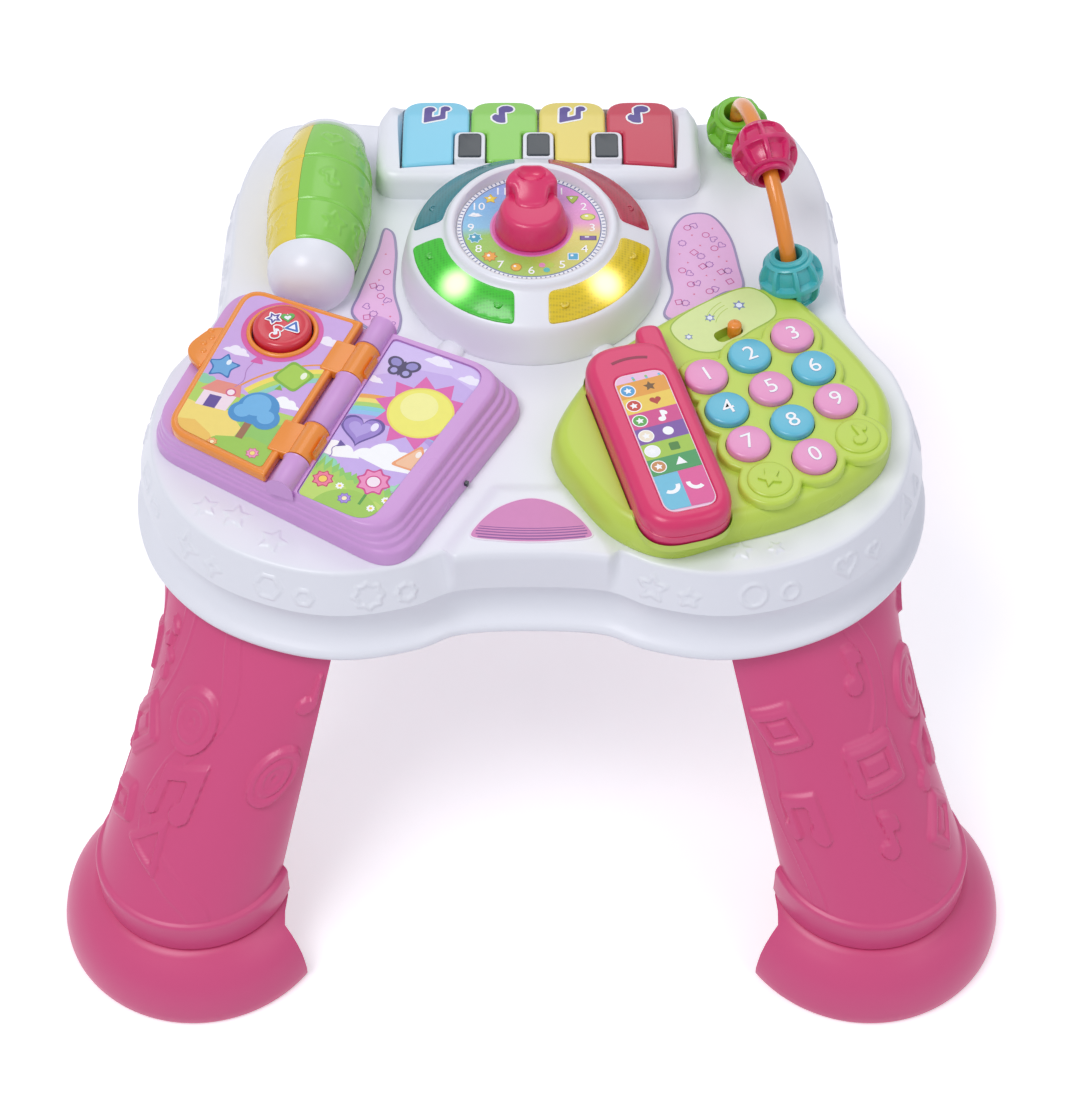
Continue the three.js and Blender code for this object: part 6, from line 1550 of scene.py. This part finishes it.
# Plans in the table's frame: the phone's base and its printed panel.
PHONE = [(11, -66), (13, -83), (21, -99), (44, -131), (73, -145), (105, -135.5), (142, -123), (171, -106),
         (193, -82), (199.5, -58), (198.5, -38), (191, -19), (179, 2), (163, 26), (150, 40), (132, 46),
         (110, 42), (90, 31), (72, 18), (42, -8), (24, -34)]
PANEL = [(78, 9), (89, -8), (103, -10.5), (124, 5.5), (139, 19), (136, 33), (125, 41), (108, 35)]
KEYPAD, ROW, COLUMN = np.array([131.8, -43.6]), np.array([24.75, 15.7]), np.array([10.4, -24.9])
PHONE_BASE, PHONE_TOP, PAD_TOP, PAD_FLOOR = 265.1, 284.0, 288.5, 281.0
TROUGH_FLOOR, SLOT_FLOOR, SLOT_PLACE, SLOT_YAW = 279.0, 277.0, (111, 4.5), 0.563
HANDSET_PLACE, HANDSET_YAW, HANDSET_BASE, HANDSET_TOP, SCREEN_FLOOR = (67.9,
                                                                       -82.7), 0.2705, 279.3, 300.3, 299.3
DIGIT_TURN, SCREEN = 0.42, (1.5, -8)


def keypad_spot(row, column):
    """A place on the phone's grid of buttons."""
    return KEYPAD + row * ROW + column * COLUMN


def number_steps():
    """The grid steps of the digits nought to nine."""
    return [(0, 2)] + [((n - 1) % 3 - 1, (n - 1) // 3 - 1) for n in range(1, 10)]


def at_handset(shape):
    """Points, or a shape of points and faces, moved from the handset's own frame to the table's."""
    return turned_about(shape, HANDSET_YAW, HANDSET_PLACE)


def pad_outline(count=400):
    """The scalloped pad's plan: the far edge, in each direction from the keypad's middle, of the round
    fields of its twelve spots and the ground between them."""
    spots = [keypad_spot(*s) for s in number_steps() + [(-1, 2), (1, 2)]]
    field = [keypad_spot(*s) for s in ((-1, -1), (-1, 2), (1, 2), (1, -1))]
    middle = keypad_spot(0, .5)
    angle = np.arange(count)[:, None] / count * TAU
    reach = np.linspace(20, 72, 261)[None, :]
    x, y = middle[0] + reach * np.cos(angle), middle[1] + reach * np.sin(angle)
    near = polygon_distance(x, y, field)
    for sx, sy in spots:
        near = np.minimum(near, np.hypot(x - sx, y - sy) - 17.2)
    far = np.where(near < 0, reach, 20).max(1)
    return np.column_stack([middle[0] + far * np.cos(angle[:, 0]), middle[1] + far * np.sin(angle[:, 0])])


def make_phone():
    """The lime base: a broad soft edge, the scalloped pad with ten wells and two fixed discs, the
    handset's trough, the slot of the slider and its printed panel."""
    plan = smooth_closed(PHONE, 420)
    outward = normals_of(plan)
    rings = stacked(plan, outward, [(.5, PHONE_BASE), (0, 265.9), (.2, 269.0)])
    rings += round_over(plan, outward, .3, 9.0, 270.0, 14.0, quarter(9, 0.12))
    trough = even(at_handset(rounded(box_corners(26.3, 68.7), 21.5, 10)), 200)
    slot = even(turned_about(rounded(box_corners(8.75, 4.5), 4.5, 6), SLOT_YAW, SLOT_PLACE), 60)
    wells = [circle(12.45, 72, *keypad_spot(*s)) for s in number_steps()]
    pad = even(pad_outline(), 400)
    pad = pad[~inside(*pad.T, trough, -1.6)]
    parts = [*shell(rings, PHONE_TOP, [trough, slot, *wells]), *pit(trough, PHONE_TOP, TROUGH_FLOOR),
             *pit(slot, PHONE_TOP, SLOT_FLOOR), *cushion(pad, PAD_TOP, 5.0, 2.0, 60.0, holes=wells)]
    for well in wells:
        parts += pit(well, PAD_TOP, PAD_FLOOR)
    disc = [(12.4, PAD_TOP - 1), (12.4, PAD_TOP + .7), (11.9, PAD_TOP + 1.3), (11, PAD_TOP + 1.5),
            (0.01, PAD_TOP + 1.5)]
    for step, shape in (((-1, 2), star(6.8, .5, 5)), ((1, 2), note_corners(7.4))):
        spot = keypad_spot(*step)
        sign = turned_about(shape, DIGIT_TURN, spot)
        parts += [lathe(disc, 64, *spot), slab(sign, PAD_TOP + 1.2, PAD_TOP + 3.0, .6)]
    piece("phone_body", clad(parts, LIME), "table", ["phone_base"])
    panel = smooth_closed(PANEL, 160)
    edge = hoop(panel - normals_of(panel) * .5, .9)
    film = [stamp([panel, slot], "#d9ea9c", 284.1), stamp(edge, "#9fbf3a", 284.14)]
    for radius in (17, 20, 23):
        arc = turned_about(arc_path(radius, 92, 138, 16), SLOT_YAW, (121, 10))
        film.append(stamp(ribbon(arc, .45), "#b7d25c", 284.16))
    for place, size in (((88.5, 1.5), .8), ((101, 16.5), 1.0), ((118, 26.5), 1.2)):
        film += [stamp(star(3.4, .55, 6), "#7f90b8", 284.17, place, 0, size),
                 stamp(circle(1.5, 14), "#e8f0fb", 284.2, place, 0, size)]
    prints("volume_panel_print", film, "table", ["volume_panel"])
    knob = [(0.01, 281), (3.9, 281), (4.0, 281.3), (4.0, 288.2), (3.7, 289.2), (2.9, 289.9), (0.01, 290.1)]
    place = turned_about([(4.0, 0)], SLOT_YAW, SLOT_PLACE)[0]
    piece("volume_slider_shown", [(*lathe(knob, 48, *place), ORANGE)], "volume_slider",
          ["volume_slider"])
    make_buttons()


def make_buttons():
    """The ten round buttons, pink for odd digits and nought and blue for even ones, each with its digit."""
    pink = moulded_plastic("pink_abs_button", "#ee9bca", 0.24, sheen=0.2)
    blue = moulded_plastic("blue_abs_button", "#5fc0da", 0.24, sheen=0.2)
    dome = [(0.01, 283.8), (11.9, 283.8), (12, 284.1), (12, 290.4), (11.75, 291.4), (11.1, 292.1),
            (10.2, 292.4), (0.01, 292.55)]
    kinds = [(pink, "button_pink", "#8a4fa6"), (blue, "button_blue", "#3f6fb5")]
    for digit, step in enumerate(number_steps()):
        spot = keypad_spot(*step)
        finish, slot, rim = kinds[1 if digit > 0 and digit % 2 == 0 else 0]
        body = "number_button_%d" % digit
        piece("number_%d_shown" % digit, [(*lathe(dome, 64, *spot), finish)], body, [body])
        prints("number_%d_print" % digit,
               [stamp(glyph(str(digit), size, bold), code, z, spot, DIGIT_TURN, .96)
                for size, bold, code, z in ((15.4, .03, rim, 292.6), (15.0, .012, "#ffffff", 292.64))],
               body)


def make_handset():
    """The magenta handset: round edges, a seam round its waist, a stub aerial, a darker arc printed as painted
    shade where its ear slot is, and a sunk screen printed with coloured bars and plain pictures."""
    plan = even(rounded(box_corners(25.6, 68), 22, 12), 260)
    outward = normals_of(plan)
    low = [(3.0, HANDSET_BASE), (1.4, 279.8), (.5, 280.9), (.1, 282.6), (0, 285), (0, 289.2), (.5, 289.5),
           (.5, 289.9), (0, 290.2), (0, 293.0)]
    rings = stacked(plan, outward, low)
    rings += round_over(plan, outward, 0, 6.2, 293.4, HANDSET_TOP - 293.4, quarter(7, 0.2))
    screen = even(rounded(box_corners(15.6, 51.6, *SCREEN), 8.5, 8), 200)
    inner = screen - normals_of(screen) * 0.9
    aerial = even(rounded(box_corners(7.5, 18, 17.5, 61), 7.4, 8), 120)
    parts = [*shell(rings, HANDSET_TOP, [screen]),
             skin_through([with_height(inner, SCREEN_FLOOR), with_height(screen, HANDSET_TOP)]),
             flat(inner, SCREEN_FLOOR), slab(aerial, 284.8, 298.6, 3.4, low_edge=2.0)]
    piece("handset_shell", clad(map(at_handset, parts), MAGENTA), "handset", ["handset"])
    # The ear slot is not cut: a darker magenta arc is printed on the top as painted shade.
    slit = np.concatenate([arc_path(31, 70, 110, 16, 0, 24), arc_path(29, 110, 70, 16, 0, 24)])
    prints("handset_ear_painted_shade", [stamp(at_handset(slit), "#8f1440", 300.36)], "handset")
    plate = even(rounded(box_corners(14.6, 50.6, *SCREEN), 7.8, 8), 160)
    piece("screen_plate", [(*at_handset(slab(plate, 299.2, 300.0, .2)), ink("#f6dfee"))], "handset",
          ["handset_screen"])
    prints("screen_print", screen_art(300.05), "handset")


def screen_art(z):
    """The screen's print: a confetti head, six coloured bars each with a round mark and a plain line,
    and two call signs."""
    page = rounded(box_corners(14.0, 50.0, *SCREEN), 7.4, 8)
    drawn, add = artist(page, z, at_handset)
    add(page, "#f0c2df")
    for i in range(14):
        add(circle(.8, 10), ("#d8468e", "#6fbfe0", "#f0c24a", "#8cc65a")[i % 4],
            (-9 + (i * 7.3) % 22, 33.5 + (i * 3.7) % 7))
    bars = [("#e9a03c", "#4f9fd6", star(3.6), "#6b4a1e"), ("#f1cf55", "#c9402f", heart(3.4), "#b3302a"),
            ("#d4468c", "#55a848", note_corners(4.0), "#ffffff"),
            ("#7a4fa4", "#f4e7d0", circle(3.0, 24), "#ffffff"),
            ("#a3c845", "#f6f6f8", rounded(box_corners(2.8, 2.8), 1, 3), "#3f7f2c"),
            ("#3f9a58", "#c98a52", star(3.6, .5, 3), "#ffffff")]
    for k, (code, mark, shape, dark) in enumerate(bars):
        low = 24.6 - 11.4 * k
        add([(-12.8, low), (15.8, low + 1.6), (15.8, low + 13.2), (-12.8, low + 11.6)], code)
        for form, colour in ((circle(4.4, 26), "#ffffff"), (circle(3.8, 26), mark),
                             (star(2.4, .5, 5), "#ffffff")):
            add(form, colour, (-7.4, low + 6.2))
        add(shape, dark, (5.2, low + 6.9))
    add([(-12.8, -57), (1.2, -57), (1.2, -31.8), (-12.8, -32.6)], "#6fc0dc")
    add([(1.2, -57), (15.8, -57), (15.8, -31), (1.2, -31.8)], "#e2599b")
    for x, turn in ((-5.6, .5), (8.6, -.5)):
        add(ribbon(arc_path(4.2, 200, 340, 16), 2.4), "#ffffff", (x, -41), turn)
    return drawn


# ---------------------------------------------------------------- side decals and label

# Plans of the three films in the table's frame.
RIGHT_DECAL = [(79, 77), (81, 56), (76, 37), (80, 33), (94, 40), (112, 54), (123, 58), (122, 78),
               (117, 104), (106, 121), (93, 121), (84, 110)]
LEFT_DECAL = [(-79, 90), (-82, 106), (-87, 109), (-91, 91), (-96.5, 70), (-101, 53), (-104, 38), (-90, 23),
              (-78, 21), (-74.5, 32), (-79, 56)]
LABEL = [(-33, -131), (-16, -134.6), (0, -135.5), (16, -134.6), (33, -131), (30, -123), (18, -110),
         (0, -103.5), (-18, -110), (-30, -123)]


SCATTER = 7.6


def make_decals():
    """Two printed films beside the clock, lilac with a grey edge and small scattered outlines: a grid of
    places, each moved by a sine and a cosine of its number."""
    shapes = [lambda r: star(r, .5, 5), lambda r: circle(r * .8, 20), lambda r: heart(r, 24),
              lambda r: star(r, .5, 3),
              lambda r: box_corners(r * .7, r * .7), lambda r: star(r, .7, 8)]
    for name, corners in (("decal_left", LEFT_DECAL), ("decal_right", RIGHT_DECAL)):
        plan = smooth_closed(corners, 200)
        film = clad([slab(plan, 265.1, 265.75, .2)], ink("#9b90b8"))
        piece(name + "_film", film, "table", [name])
        inner = plan - normals_of(plan) * 1.5
        parts = [stamp(inner, "#e9b6e2", 265.8)]
        low, high = plan.min(0), plan.max(0)
        number = 0
        for j in range(int((high[1] - low[1]) / SCATTER) + 1):
            for i in range(int((high[0] - low[0]) / SCATTER) + 1):
                number += 1
                x = low[0] + SCATTER * i + 2.2 * math.sin(number * 2.1) + 3 * (j % 2)
                y = low[1] + SCATTER * j + 2.2 * math.cos(number * 1.7)
                if not inside(np.array([x]), np.array([y]), plan, 5.0)[0]:
                    continue
                outline = smooth_closed(even(shapes[number % 6](2.6 if number % 3 else 1.3), 24), 36)
                code = ("#d8557f", "#c94f9a", "#a866b8")[number % 3]
                parts.append(stamp(hoop(outline, .55), code, 265.85, (x, y), number * .8))
        prints(name + "_print", parts, "table")


def make_label():
    """The label on the hump: pink, with five purple lines along its front edge that bow with it."""
    plan = smooth_closed(LABEL, 160)
    piece("label_film", [(*slab(plan, 267.0, 267.8, .25), ink("#f3e6f2"))], "table",
          ["label_plate"])
    inner = plan - normals_of(plan) * .8
    parts = [stamp(inner, "#d583bb", 267.85)]
    for k, y in enumerate((-132.2, -130.2, -128.2, -126.4, -124.8)):
        row = np.linspace(-30, 30, 60)
        line = np.column_stack([row, y - 2.0 * (1 - (row / 30) ** 2) + 1.2])
        line = line[inside(*line.T, inner, .9)]
        if len(line) > 3:
            parts.append(stamp(ribbon(line, .95 - .12 * k), "#8a4f98", 267.9))
    prints("label_print", parts, "table")


# ---------------------------------------------------------------- pieces shown as built

BUILT_FINISHES = {"bottom_shell": WHITE, "battery_door": PINK, "circuit_board": BOARD,
                  "keypad_board": BOARD,
                  "speaker": DARK, "battery_left": STEEL, "battery_right": STEEL, "book_pin": STEEL,
                  "clock_spindle": STEEL, "key_pivot_rod": STEEL, "roller_axle": STEEL}


def finish_built():
    """Gives the hidden pieces that keep their built shape the finish of the real material."""
    for name, finish in BUILT_FINISHES.items():
        item = bpy.data.objects[name]
        for slot in item.material_slots:
            slot.material = finish


make_tray()
make_legs()
make_dome()
make_lenses()
make_dial()
make_knob()
make_piano()
make_drum()
make_bar()
make_beads()
make_book()
make_phone()
make_handset()
make_decals()
make_label()
finish_built()
add_camera()
add_studio()
